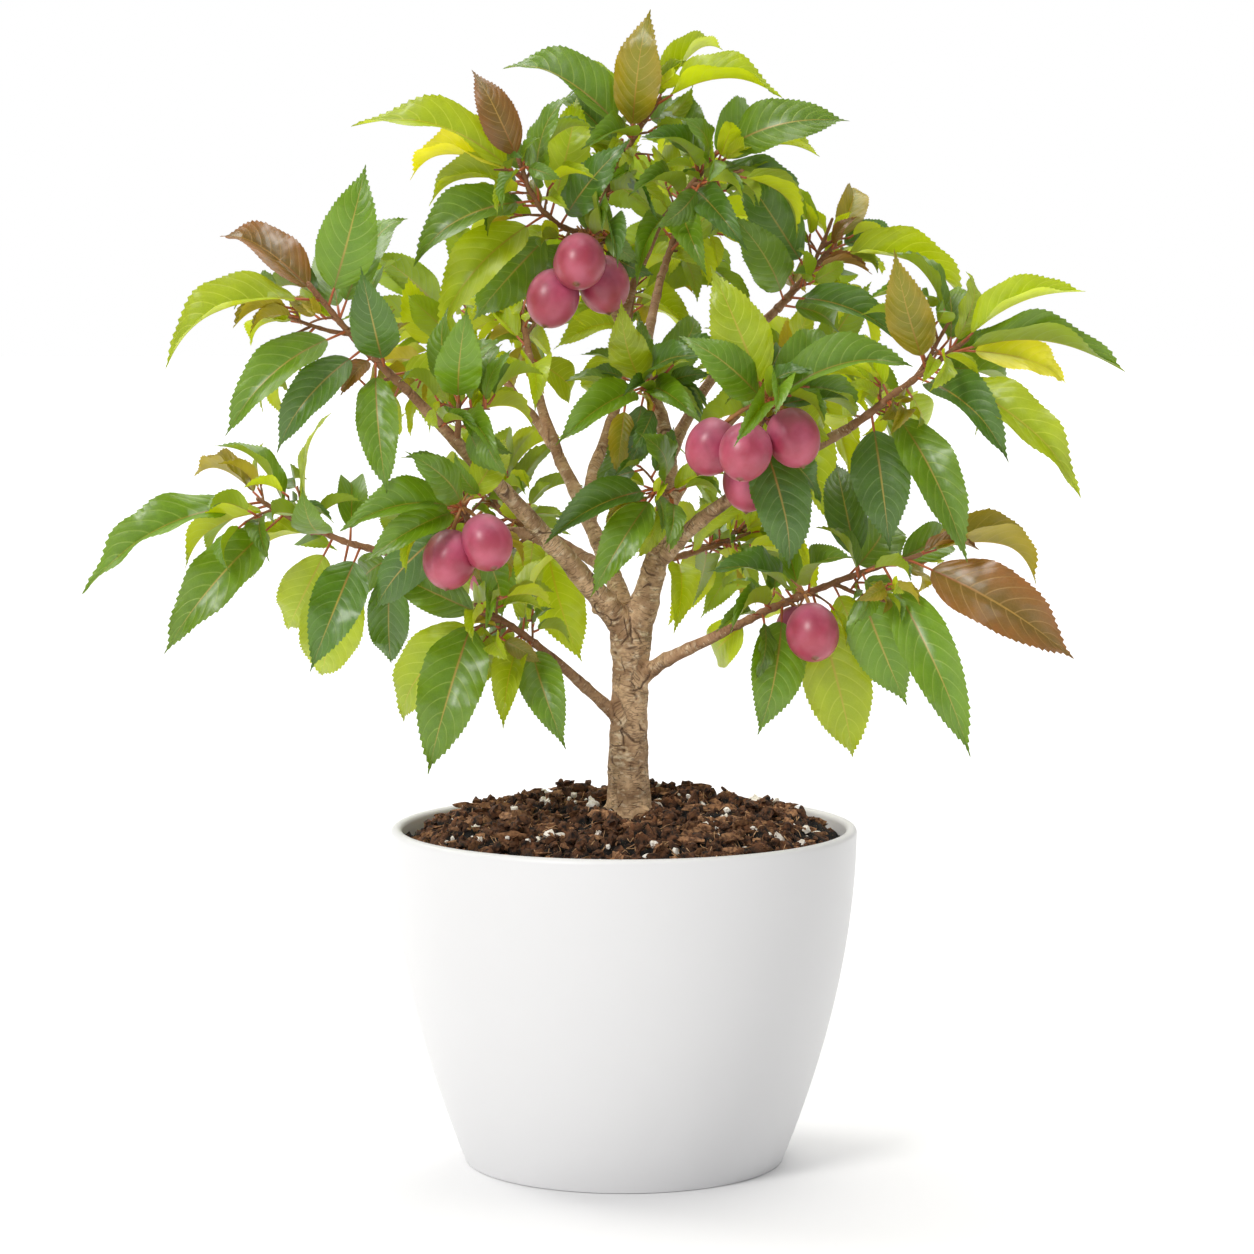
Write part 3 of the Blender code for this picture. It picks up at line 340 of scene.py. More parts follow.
# parent, share of the way along it, tip, two bows off the chord, first and last radius
boughs = {
    "leader_low": ("trunk", 0.90, (29, -3, 461), (8, -10, -2), (9, -4, -1), 9.0, 5.3),
    "left_main": ("trunk", 0.92, (-133, -82, 501), (4, 1, 3), (2, -5, -1), 8.0, 3.0),
    "back_left": ("trunk", 0.94, (-62, 100, 510), (7, 3, 1), (-7, 14, -11), 6.6, 3.0),
    "low_right": ("trunk", 0.66, (69, -32, 350), (-2, 3, 5), (-1, -1, 1), 5.2, 3.1),
    "low_left": ("trunk", 0.47, (-51, -27, 334), (-2, 2, -1), (1, 2, 2), 4.4, 3.0),
    "rear_low_right": ("trunk", 0.80, (26, 92, 384), (0, 0, -4), (0, 0, -2), 5.0, 3.0),
    "leader_high": ("leader_low", 1.00, (-17, 6, 608), (9, 8, 2), (-21, 14, -5), 5.2, 3.0),
    "right_main": ("leader_low", 0.42, (142, -52, 478), (-7, -1, 10), (-6, -5, 4), 5.2, 3.3),
    "upper_right": ("leader_low", 0.96, (99, 37, 551), (-11, 3, 5), (-9, 7, 5), 4.0, 2.9),
    "rear_right": ("leader_low", 0.70, (78, 108, 484), (-3, 1, 0), (-4, 2, 0), 4.6, 3.0),
    "top_right": ("leader_high", 0.56, (22, 0, 605), (-2, 1, 1), (-2, 1, 1), 3.2, 2.5),
    "rear_high": ("leader_high", 0.36, (24, 92, 571), (-1, 0, 0), (-1, 0, 0), 3.8, 2.8),
    "mid_left": ("left_main", 0.38, (-137, -26, 395), (3, -18, 22), (-2, -11, 2), 4.0, 2.4),
    "back_centre": ("back_left", 0.42, (-1, 120, 521), (-15, 5, -1), (11, 2, -4), 4.8, 2.9),
    "rear_low_left": ("back_left", 0.22, (-43, 108, 396), (2, 1, -1), (1, 1, -1), 4.4, 2.8),
    "rear_left": ("back_left", 0.72, (-84, 128, 507), (0, 0, 0), (1, 1, 0), 3.8, 2.6),
}

# Each mass grows on from its bough's tip, or at "at" stands on the bough's side. Its shown
# leaves are: share along the stem, heading in the front plane, length seen, roll of the
# blade from facing front (0) to facing up (90), lean towards the front, tint.
masses = {
    "left_high": dict(
        bough="left_main", tip=(-193, -108, 568), bow=(-2, 0, -2), seed=3, fill=4, twigs=1,
        leaves=(
            (0.86, 196, 110, 60, 12, "lime"), (0.83, 150, 88, 60, -5, "bronze"),
            (0.79, 72, 93, 15, 8, "green"), (0.68, 60, 83, 70, -10, "green"),
            (0.23, 98, 63, 10, 12, "deep"), (0.59, 218, 102, 35, 15, "green"),
            (0.43, 228, 86, 30, 22, "deep"), (0.35, 232, 33, 30, 30, "bronze"),
            (0.32, 274, 82, 5, 20, "green"), (0.84, 176, 42, 100, -20, "deep"),
            (0.65, 178, 45, 60, -35, "lime"), (0.17, 344, 46, 50, -25, "lime"),
            (0.08, 264, 64, 20, -30, "lime"),
        ),
    ),
    "left_side": dict(
        bough="left_main", at=0.81, tip=(-102, -88, 495), seed=5, fill=2,
        leaves=(
            (0.90, 88, 61, 12, 10, "green"), (0.40, 210, 28, 35, -20, "green"),
            (0.60, 318, 35, 45, 20, "green"), (0.50, 138, 49, 50, -30, "lime"),
            (0.84, 40, 37, 40, -25, "lime"),
        ),
    ),
    "mid_left": dict(
        bough="mid_left", tip=(-236, 0, 430), bow=(-1, 5, -8), seed=8, fill=5, twigs=1,
        leaves=(
            (0.97, 206, 131, 62, 12, "green"), (0.95, 160, 58, 75, -12, "olive"),
            (0.82, 230, 122, 22, 20, "green"), (0.55, 204, 60, 60, -18, "lime"),
            (0.38, 96, 44, 40, -20, "green"), (0.52, 116, 36, 30, 5, "green"),
            (0.31, 248, 92, 12, 25, "deep"), (0.39, 254, 116, 20, -28, "lime"),
            (0.49, 240, 93, 20, -35, "lime"), (0.12, 266, 78, 15, -15, "deep"),
            (0.08, 234, 56, 20, -38, "green"),
        ),
    ),
    "left_fruit": dict(
        bough="mid_left", at=0.52, tip=(-101, -84, 430), seed=13, fill=3,
        fruit=((-108, -94, 398), (-85, -100, 409)),
        leaves=(
            (0.98, 188, 75, 50, 14, "green"), (0.92, 210, 65, 40, 22, "green"),
            (0.69, 227, 88, 18, 16, "deep"), (0.95, 126, 49, 25, 10, "green"),
            (0.91, 52, 33, 40, -15, "lime"), (0.51, 292, 69, 20, -28, "green"),
            (0.91, 120, 33, 40, -30, "lime"), (0.60, 260, 64, 20, -35, "lime"),
        ),
    ),
    "low_left": dict(
        bough="low_left", tip=(-94, -48, 366), bow=(1, 0, 2), seed=21, fill=5, twigs=1,
        leaves=(
            (0.97, 252, 116, 12, 22, "green"), (0.90, 230, 100, 25, -12, "lime"),
            (0.50, 240, 55, 25, -25, "lime"), (0.33, 256, 55, 20, 8, "lime"),
            (0.24, 288, 70, 10, 18, "green"), (0.80, 250, 52, 20, -40, "lime"),
            (0.95, 148, 36, 40, 25, "green"), (0.86, 80, 43, 30, -30, "lime"),
        ),
    ),
    "low_right": dict(
        bough="low_right", tip=(186, -66, 399), bow=(-2, -2, 4), seed=34, fill=4, twigs=1,
        fruit=((118, -76, 351), (113, -34, 347)),
        leaves=(
            (0.93, 328, 119, 20, 12, "bronze"), (0.97, 10, 41, 70, -10, "bronze"),
            (0.96, 354, 99, 75, -22, "olive"), (0.81, 298, 138, 15, 22, "green"),
            (0.66, 294, 90, 15, 12, "green"), (0.44, 284, 119, 15, -14, "lime"),
            (0.28, 260, 83, 15, 14, "green"), (0.32, 272, 62, 20, -25, "lime"),
            (0.12, 240, 52, 25, -8, "lime"), (0.34, 156, 59, 50, 8, "deep"),
            (0.22, 188, 30, 60, 30, "green"), (0.42, 52, 36, 45, 10, "green"),
            (0.69, 100, 73, 20, -12, "deep"), (0.82, 326, 36, 40, -30, "olive"),
            (0.55, 296, 44, 30, -38, "lime"), (0.38, 104, 30, 40, -20, "green"),
        ),
    ),
    "right_high": dict(
        bough="right_main", tip=(214, -70, 534), bow=(0, -1, 0), seed=55, fill=5, twigs=1,
        leaves=(
            (0.65, 108, 78, 15, 10, "olive"), (0.90, 24, 86, 65, 5, "lime"),
            (0.83, 356, 113, 60, 14, "green"), (0.88, 342, 82, 40, -30, "yellow"),
            (0.76, 354, 56, 70, -12, "green"), (0.67, 322, 130, 35, 15, "lime"),
            (0.57, 318, 89, 20, 30, "deep"), (0.31, 298, 119, 18, 22, "green"),
            (0.18, 278, 88, 10, 14, "deep"), (0.85, 84, 42, 35, -18, "green"),
            (0.47, 288, 40, 30, -35, "lime"), (0.12, 248, 45, 30, -30, "lime"),
            (0.97, 358, 24, 60, 30, "bronze"), (0.34, 126, 40, 50, -25, "lime"),
        ),
    ),
    "right_fruit": dict(
        bough="right_main", at=0.47, tip=(88, -106, 497), bow=(0, -4, -3), seed=89, fill=4,
        fruit=((74, -125, 466), (104, -110, 474), (54, -96, 468), (78, -82, 446)),
        leaves=(
            (0.93, 208, 74, 35, 14, "green"), (0.99, 114, 90, 20, 6, "lime"),
            (0.96, 146, 57, 30, 16, "green"), (0.98, 46, 62, 35, -8, "green"),
            (0.97, 16, 96, 55, 8, "green"), (0.95, 340, 71, 35, 18, "green"),
            (0.73, 282, 92, 8, 0, "deep"), (0.90, 358, 68, 50, -18, "deep"),
            (0.92, 110, 54, 40, -25, "lime"), (0.84, 320, 58, 35, -25, "lime"),
        ),
    ),
    "upper_right": dict(
        bough="upper_right", tip=(138, 48, 594), bow=(0, 0, 0), seed=144, fill=5, twigs=1,
        leaves=(
            (0.55, 126, 85, 10, 10, "deep"), (0.13, 118, 68, 25, 14, "green"),
            (0.94, 64, 48, 20, -4, "olive"), (0.87, 342, 102, 60, 12, "lime"),
            (0.20, 338, 92, 40, 25, "deep"), (0.62, 0, 39, 70, 22, "bronze"),
            (0.93, 50, 28, 60, -20, "bronze"), (0.41, 320, 40, 50, -35, "lime"),
            (0.33, 122, 40, 40, -35, "lime"), (0.25, 12, 44, 60, -28, "olive"),
            (0.08, 334, 45, 30, -20, "green"),
        ),
    ),
    "top_right": dict(
        bough="top_right", tip=(59, -9, 652), bow=(1, -1, 0), seed=233, fill=4, twigs=1,
        leaves=(
            (0.95, 18, 90, 30, 12, "green"), (0.79, 6, 80, 60, -25, "lime"),
            (0.55, 310, 52, 25, 16, "deep"), (0.32, 290, 48, 15, 8, "green"),
            (0.37, 166, 32, 50, 12, "green"), (0.69, 146, 47, 50, 16, "deep"),
            (0.78, 112, 56, 20, -12, "green"), (0.61, 330, 42, 40, -25, "lime"),
            (0.44, 132, 32, 40, -30, "lime"), (0.20, 240, 38, 30, 25, "green"),
            (0.70, 102, 38, 40, 30, "green"),
        ),
    ),
    "top": dict(
        bough="leader_high", tip=(23, -6, 686), bow=(-5, 0, 2), seed=377, fill=5, twigs=1,
        leaves=(
            (0.62, 80, 83, 15, 6, "olive"), (0.64, 148, 103, 60, -8, "green"),
            (0.88, 48, 77, 40, -6, "lime"), (0.94, 6, 81, 65, 10, "lime"),
            (0.48, 132, 59, 40, -18, "green"), (0.75, 100, 38, 30, 18, "bronze"),
            (0.81, 92, 41, 20, -25, "green"), (0.64, 194, 30, 30, 28, "green"),
            (0.34, 136, 44, 40, -30, "lime"), (0.44, 348, 34, 45, -25, "green"),
            (0.20, 342, 36, 40, 22, "deep"), (0.13, 140, 40, 50, -20, "lime"),
            (0.90, 294, 34, 30, 25, "green"),
        ),
    ),
    "top_left": dict(
        bough="leader_high", at=0.95, tip=(-66, -48, 646), bow=(-7, -6, -18), seed=610, fill=4,
        leaves=(
            (0.80, 158, 120, 58, 10, "lime"), (0.66, 204, 93, 50, 16, "green"),
            (0.52, 224, 106, 30, 8, "lime"), (0.37, 234, 80, 15, 22, "green"),
            (0.92, 118, 69, 25, 5, "bronze"), (0.62, 76, 75, 60, 12, "green"),
            (0.85, 172, 92, 60, -30, "yellow"), (0.88, 84, 57, 30, -20, "green"),
            (0.35, 48, 69, 15, 20, "deep"), (0.47, 72, 77, 35, -22, "lime"),
            (0.49, 196, 59, 50, -28, "lime"), (0.29, 216, 48, 30, -35, "lime"),
        ),
    ),
    "top_fruit": dict(
        bough="leader_high", at=0.86, tip=(-23, -28, 596), seed=11, fill=1,
        fruit=((-28, -52, 582), (-45, -40, 559), (-13, -26, 568)),
        leaves=(
            (0.95, 326, 72, 12, 16, "deep"), (0.90, 302, 68, 15, -18, "lime"),
            (0.85, 224, 58, 20, -12, "green"), (0.90, 62, 40, 35, 10, "green"),
        ),
    ),
    "centre_high": dict(
        bough="leader_high", at=0.27, tip=(13, -20, 503), seed=17, fill=2,
        leaves=(
            (0.90, 212, 66, 30, 14, "green"), (0.88, 30, 42, 40, 22, "deep"),
            (0.70, 332, 42, 35, 28, "green"), (0.85, 114, 44, 40, 8, "lime"),
        ),
    ),
    "centre_low": dict(
        bough="leader_low", at=0.78, tip=(21, -28, 439), seed=19, fill=1,
        leaves=(
            (0.90, 206, 80, 35, 16, "deep"), (0.80, 238, 80, 12, 24, "green"),
            (0.60, 102, 44, 40, 12, "green"),
        ),
    ),
    "back_left": dict(
        bough="back_left", tip=(-74, 134, 570), bow=(1, 1, -1), seed=23, fill=9, twigs=2,
        leaves=(
            (0.63, 126, 40, 30, 0, "lime"), (0.12, 218, 52, 40, 10, "lime"),
            (0.26, 148, 52, 40, -10, "lime"), (0.08, 280, 52, 30, 5, "lime"),
            (0.49, 24, 42, 50, 10, "lime"), (0.16, 310, 46, 30, -15, "lime"),
        ),
    ),
    "back_centre": dict(
        bough="back_centre", tip=(8, 160, 575), bow=(0, 1, -1), seed=29, fill=10, twigs=2,
        leaves=(
            (0.34, 194, 50, 40, 5, "lime"), (0.54, 118, 50, 30, 10, "lime"),
            (0.13, 306, 50, 25, 8, "lime"), (0.87, 20, 50, 50, 0, "lime"),
            (0.74, 328, 50, 40, 14, "lime"), (0.20, 240, 54, 25, -10, "lime"),
        ),
    ),
    "rear_left": dict(
        bough="rear_left", tip=(-128, 168, 548), bow=(0, 0, -4), seed=31, fill=11, twigs=3,
    ),
    "rear_high": dict(
        bough="rear_high", tip=(42, 140, 630), bow=(0, 2, -3), seed=37, fill=11, twigs=3,
    ),
    "rear_right": dict(
        bough="rear_right", tip=(136, 168, 528), bow=(2, 0, -3), seed=41, fill=11, twigs=3,
        fruit=((96, 150, 462), (112, 128, 456)),
        leaves=(
            (0.20, 264, 93, 20, 12, "lime"), (0.41, 290, 112, 25, 8, "lime"),
            (0.69, 72, 54, 40, 0, "lime"),
        ),
    ),
    "rear_low_right": dict(
        bough="rear_low_right", tip=(84, 152, 404), bow=(0, 1, -5), seed=43, fill=11, twigs=3,
        leaves=(
            (0.16, 272, 46, 25, 12, "lime"), (0.33, 44, 50, 40, 0, "lime"),
            (0.10, 148, 42, 40, 5, "lime"),
        ),
    ),
    "rear_low_left": dict(
        bough="rear_low_left", tip=(-94, 160, 420), bow=(0, 1, -5), seed=47, fill=11, twigs=3,
        fruit=((-92, 142, 374), (-116, 158, 382)),
        leaves=(
            (0.20, 284, 88, 20, 10, "lime"), (0.33, 264, 64, 25, 8, "lime"),
            (0.08, 322, 36, 30, 10, "lime"), (0.49, 210, 50, 30, -5, "lime"),
        ),
    ),
}


# Growth: the same rule as the solids, so every stem, leaf and plum stands where its solid does

def curvePoints(start, tip, bowNear, bowFar, steps):
    # a cubic whose two handles stand off the chord by the bows
    near = start.lerp(tip, 1 / 3) + bowNear
    far = start.lerp(tip, 2 / 3) + bowFar
    points = []
    for step in range(steps + 1):
        t = step / steps
        s = 1 - t
        points.append(start * s**3 + near * 3 * s * s * t + far * 3 * s * t * t + tip * t**3)
    return points


def directions(points):
    found = []
    for index in range(len(points)):
        before = points[max(index - 1, 0)]
        after = points[min(index + 1, len(points) - 1)]
        found.append((after - before).normalized())
    return found


def onLine(points, share):
    # the point and direction at a share of a line's length
    lengths = [(b - a).length for a, b in zip(points, points[1:])]
    left = share * sum(lengths)
    for index, length in enumerate(lengths):
        if left <= length or index == len(lengths) - 1:
            a, b = points[index], points[index + 1]
            return a.lerp(b, min(left / length, 1.0)), (b - a).normalized()
        left -= length


def tubeShape(points, radii, sides, lead=None):
    # points and faces of a capped tube, its rings turned as little as possible
    tangents = directions(points)
    if lead:
        tangents[0] = lead
    across = tangents[0].orthogonal().normalized()
    spots = []
    for point, tangent, radius in zip(points, tangents, radii):
        across = (across - tangent * across.dot(tangent)).normalized()
        side = tangent.cross(across)
        for index in range(sides):
            angle = math.tau * index / sides
            spots.append(point + (across * math.cos(angle) + side * math.sin(angle)) * radius)
    faces = [tuple(reversed(range(sides)))]
    for ring in range(len(points) - 1):
        low, high = ring * sides, (ring + 1) * sides
        for index in range(sides):
            after = (index + 1) % sides
            faces.append((low + index, low + after, high + after, high + index))
    last = (len(points) - 1) * sides
    faces.append(tuple(last + index for index in range(sides)))
    return spots, faces


def limbShape(points, radii, sides, lead=None, extra=0.0):
    line = list(points)
    tangents = directions(line)
    if extra:
        line[0] = line[0] - tangents[0] * extra
        line[-1] = line[-1] + tangents[-1] * extra
    return tubeShape(line, [radius + extra for radius in radii], sides, lead)


def taper(first, last, count):
    return [first + (last - first) * index / (count - 1) for index in range(count)]


def trunkLine():
    points = [curvePoints(trunk["foot"], trunk["top"], trunk["bow"], trunk["bow"], 100)[share]
              for share in (0, 3, 7, 13, 22, 34, 48, 64, 82, 96)]
    radii = [trunkRadiusAt(point.z) for point in points]
    return points + [trunk["top"]], radii + [trunk["radius"] * 0.6]


def trunkRadiusAt(height):
    above = height - trunk["foot"].z
    flare = trunk["flare"] * math.exp(-above / trunk["flareFade"])
    return trunk["radius"] + trunk["taper"] * math.exp(-above / trunk["fade"]) + flare


def limbLines():
    line, radii = trunkLine()
    limbs = {"trunk": (line, radii, trunk["sides"], None)}
    for name, (parent, share, tip, bowNear, bowFar, first, last) in boughs.items():
        start, heading = onLine(limbs[parent][0], share)
        lead = None
        if share == 1.0:
            start, lead = start + heading * clearance, heading
        points = curvePoints(start, Vector(tip), Vector(bowNear), Vector(bowFar), 6)
        limbs[name] = (points, taper(first, last, len(points)), 8, lead)
    return limbs


def treeOf(shape):
    return BVHTree.FromPolygons([tuple(spot) for spot in shape[0]], shape[1])


def treeOfPieces(*pieces):
    # finished pieces in millimetres, for tests against their faces
    spots, faces = [], []
    for piece in pieces:
        first = len(spots)
        spots += [vertex.co / mm for vertex in piece.data.vertices]
        faces += [tuple(corner + first for corner in face.vertices) for face in piece.data.polygons]
    return treeOf((spots, faces))


def leafShape(leaf, grown=0.0, start=0.0):
    # the room a leaf takes: an arched blade of three-cornered rings, from start of its petiole
    base, chord, normal, length = leaf
    side = chord.cross(normal)
    halfWidth = min(length * (1 - leafRule["petiole"]) * leafRule["width"], leafRule["widest"]) / 2
    arch = archOf(chord)
    cuts = [(leafRule["petiole"] * start, 0.0)]
    cuts += [(leafRule["petiole"] + (1 - leafRule["petiole"]) * share, wide) for share, wide in leafRule["cuts"]]
    spots = []
    for share, wide in cuts:
        middle = base + chord * (length * share) + normal * (length * arch * math.sin(math.pi * share))
        slope = arch * math.pi * math.cos(math.pi * share)
        lift = (normal - chord * slope).normalized()
        reach = halfWidth * wide + grown if wide else leafRule["stalk"] + grown / 2
        ridge = (leafRule["ridge"] if wide else leafRule["stalk"] * 1.3) + grown / 2
        top = lift * (grown / 2 + (0.0 if wide else leafRule["stalk"] * 0.6))
        spots += [middle - side * reach + top, middle + side * reach + top, middle - lift * ridge]
    spots.append(base + chord * (length + grown))
    faces = [(0, 1, 2)]
    for ring in range(len(cuts) - 1):
        low, high = ring * 3, ring * 3 + 3
        for index in range(3):
            after = (index + 1) % 3
            faces += [(low + index, high + index, low + after), (low + after, high + index, high + after)]
    last = (len(cuts) - 1) * 3
    tip = len(spots) - 1
    faces += [(last + index, tip, last + (index + 1) % 3) for index in range(3)]
    return spots, faces


def archOf(chord):
    hanging, level = leafRule["arch"]
    return hanging + (level - hanging) * math.sqrt(max(1 - chord.z**2, 0.0))


def headingVector(heading, lean):
    turn, tilt = math.radians(heading), math.radians(lean)
    flat = Vector((math.cos(turn), 0.0, math.sin(turn)))
    return flat * math.cos(tilt) + front * math.sin(tilt)


def bladeNormal(chord, outward, roll):
    # the blade's upper side: 0 turns it outward, 90 to the sky
    angle = math.radians(roll)
    wanted = outward * math.cos(angle) + up * math.sin(angle)
    across = wanted - chord * wanted.dot(chord)
    if across.length < 0.1:
        across = outward - chord * outward.dot(chord)
    return across.normalized()


def plumRoom(centre, axis, grown=0.0):
    across = axis.orthogonal().normalized()
    side = axis.cross(across)
    rings, sides = 5, 8
    spots = [centre - axis * (plum["halfLength"] + grown)]
    for ring in range(1, rings):
        angle = math.pi * ring / rings
        middle = centre - axis * ((plum["halfLength"] + grown) * math.cos(angle))
        radius = (plum["radius"] + grown) * math.sin(angle)
        for index in range(sides):
            turn = math.tau * index / sides
            spots.append(middle + (across * math.cos(turn) + side * math.sin(turn)) * radius)
    spots.append(centre + axis * (plum["halfLength"] + grown))
    faces = []
    for index in range(sides):
        after = (index + 1) % sides
        faces.append((0, 1 + after, 1 + index))
        for ring in range(rings - 2):
            low, high = 1 + ring * sides, 1 + (ring + 1) * sides
            faces.append((low + index, low + after, high + after, high + index))
        last = 1 + (rings - 2) * sides
        faces.append((last + index, last + after, len(spots) - 1))
    return spots, faces


class Space:
    # what is already grown, so that nothing new touches it

    def __init__(self):
        self.taken = []

    def add(self, owner, shape):
        low = [min(spot[axis] for spot in shape[0]) for axis in range(3)]
        high = [max(spot[axis] for spot in shape[0]) for axis in range(3)]
        self.taken.append((owner, low, high, treeOf(shape)))

    def free(self, whole, blade, owner):
        # whole clears the other masses and limbs, and blade clears its own mass
        shapes = {}
        for mine, shape in ((True, blade), (False, whole)):
            low = [min(spot[axis] for spot in shape[0]) for axis in range(3)]
            high = [max(spot[axis] for spot in shape[0]) for axis in range(3)]
            shapes[mine] = (low, high, treeOf(shape))
        for other, low, high, tree in self.taken:
            least, most, mine = shapes[other == owner]
            if any(least[axis] > high[axis] or most[axis] < low[axis] for axis in range(3)):
                continue
            if mine.overlap(tree):
                return False
        return True


def startOf(plan, limbs):
    # past its bough's tip, or outside the bough's side
    points, radii, _, _ = limbs[plan["bough"]]
    share = plan.get("at", 1.0)
    spot, heading = onLine(points, share)
    if share == 1.0:
        return spot + heading * clearance, heading
    radius = radii[0] + (radii[-1] - radii[0]) * share
    outward = (Vector(plan["tip"]) - spot).normalized()
    outward = (outward - heading * outward.dot(heading) * 0.5).normalized()
    sine = math.sqrt(max(1 - outward.dot(heading) ** 2, 0.2))
    return spot + outward * ((radius + clearance) / sine + 0.1), outward


def growStem(name, plan, limbs, space):
    start, heading = startOf(plan, limbs)
    tip = Vector(plan["tip"])
    bow = Vector(plan.get("bow", (0, 0, 0)))
    points = curvePoints(start, tip, bow, bow, 5)
    first = twigRule["first"] if "at" in plan else min(limbs[plan["bough"]][1][-1], twigRule["first"] + 0.6)
    last = twigRule["spur"] if plan.get("fruit") and "at" in plan else twigRule["last"]
    rooms = [tubeShape(points, taper(first, last, len(points)), 3, heading)]
    root, _ = onLine(limbs[plan["bough"]][0], plan.get("at", 1.0))
    grown = dict(shoots=[points], lines=[([root] + points, first, last)], leaves=[], plums=[])
    rng = random.Random(plan["seed"])
    for twig in range(plan.get("twigs", 0)):
        share = 0.25 + 0.6 * (twig + 0.5) / plan["twigs"]
        root, along = onLine(points, share)
        across = along.orthogonal().normalized()
        turn = math.radians(leafRule["goldenAngle"] * twig + rng.uniform(0, 360))
        radial = across * math.cos(turn) + along.cross(across) * math.sin(turn)
        outward = Vector((root.x, root.y, 0.0)).normalized()
        lead = (along * 0.6 + radial * 0.7 + outward * 0.5).normalized()
        end = root + lead * rng.uniform(*twigRule["length"])
        line = curvePoints(root, end, up * -2, up * -1, 3)
        radius = twigRule["radius"]
        shape = tubeShape(line, taper(radius, radius * 0.7, len(line)), 3)
        if space.free(shape, limbShape(line[1:], [radius + leafRule["spare"]] * 3, 3), name):
            rooms.append(shape)
            grown["shoots"].append(line)
            grown["lines"].append((line, radius, radius * 0.7))
    for centre in plan.get("fruit", ()):
        middle = Vector(centre)
        near = min(range(1, 21), key=lambda n: (onLine(points, n / 20)[0] - middle).length)
        foot = points[-1] if "at" in plan else onLine(points, near / 20)[0]
        axis = ((foot - middle).normalized() + up * 0.9).normalized()
        crown = middle + axis * (plum["halfLength"] - 3.0)
        stalk = curvePoints(foot, crown, up * 2, up * 3, 3)
        rooms.append(tubeShape(stalk, [1.0] * 4, 3))
        grown["plums"].append((middle, axis, foot))
        space.add(name, plumRoom(middle, axis, 0.4))
    for room in rooms:
        space.add(name, room)
    return grown


def tryLeaf(name, leaf, tint, space, grown):
    whole = leafShape(leaf, grown=leafRule["spare"])
    blade = leafShape(leaf, grown=leafRule["spare"], start=0.7)
    if min(spot.z for spot in whole[0]) < potRule["height"] + 14.0:
        return False
    if not space.free(whole, blade, name):
        return False
    grown["leaves"].append((leaf, tint))
    space.add(name, leafShape(leaf, start=0.4))
    return True


def trueLeaf(seen, lean, tint):
    # a leaf's length and lean, from the length that the front shows. Young leaves are small.
    full = leafRule["full"]
    length = seen * 1.04 if tint == "bronze" else max(seen, (seen + full) / 2)
    if length <= seen * 1.05:
        return length, lean
    return length, math.copysign(math.degrees(math.acos(seen / length)), lean)


def growShown(name, plan, space, grown):
    # the listed leaves. One that has no room is turned a little before it is left out.
    rng = random.Random(plan["seed"] + 1000)
    for share, heading, seen, roll, way, tint in plan.get("leaves", ()):
        base, _ = onLine(grown["shoots"][0], share)
        swing = rng.uniform(-18, 18)
        length, lean = trueLeaf(seen, way, tint)
        for change in (0, 8, -8, 16, -16, 24, -24, 32, -32, 44, -44, 60, -60):
            chord = headingVector(heading + change * 0.15, lean + change)
            turn = math.radians(swing + change * 0.5)
            outward = Vector((math.sin(turn), -math.cos(turn), 0.0))
            leaf = (base, chord, bladeNormal(chord, outward, roll * 0.85), length)
            if tryLeaf(name, leaf, tint, space, grown):
                break


def growFill(name, plan, space, grown):
    # leaves spiral along the stem and its twigs, spread and sag outward
    rng = random.Random(plan["seed"])
    for number in range(plan.get("fill", 0)):
        shoot = grown["shoots"][number % len(grown["shoots"])]
        for attempt in range(9):
            share = rng.uniform(0.2, 1.0)
            base, along = onLine(shoot, share)
            across = along.orthogonal().normalized()
            turn = math.radians(leafRule["goldenAngle"] * number + rng.uniform(-30, 30) + attempt * 40)
            radial = across * math.cos(turn) + along.cross(across) * math.sin(turn)
            foot, tip = leafRule["spread"][1], leafRule["spread"][0]
            angle = math.radians(foot + (tip - foot) * share + rng.uniform(-12, 12))
            sag = up * rng.uniform(0.15, 0.55)
            chord = (along * math.cos(angle) + radial * math.sin(angle) - sag).normalized()
            if "leaves" in plan:
                chord.y = abs(chord.y)  # the front keeps to the listed leaves
            outward = Vector((base.x, base.y, 0.0)).normalized()
            length = rng.uniform(*leafRule["fillLength"])
            leaf = (base, chord, bladeNormal(chord, outward, rng.uniform(20, 65)), length)
            if outside(base + chord * length):
                continue
            tint = rng.choice(("green", "green", "deep", "lime", "lime"))
            if tryLeaf(name, leaf, tint, space, grown):
                break


def outside(spot):
    away = spot - crown["centre"]
    return sum((away[axis] / crown["reach"][axis]) ** 2 for axis in range(3)) > 1


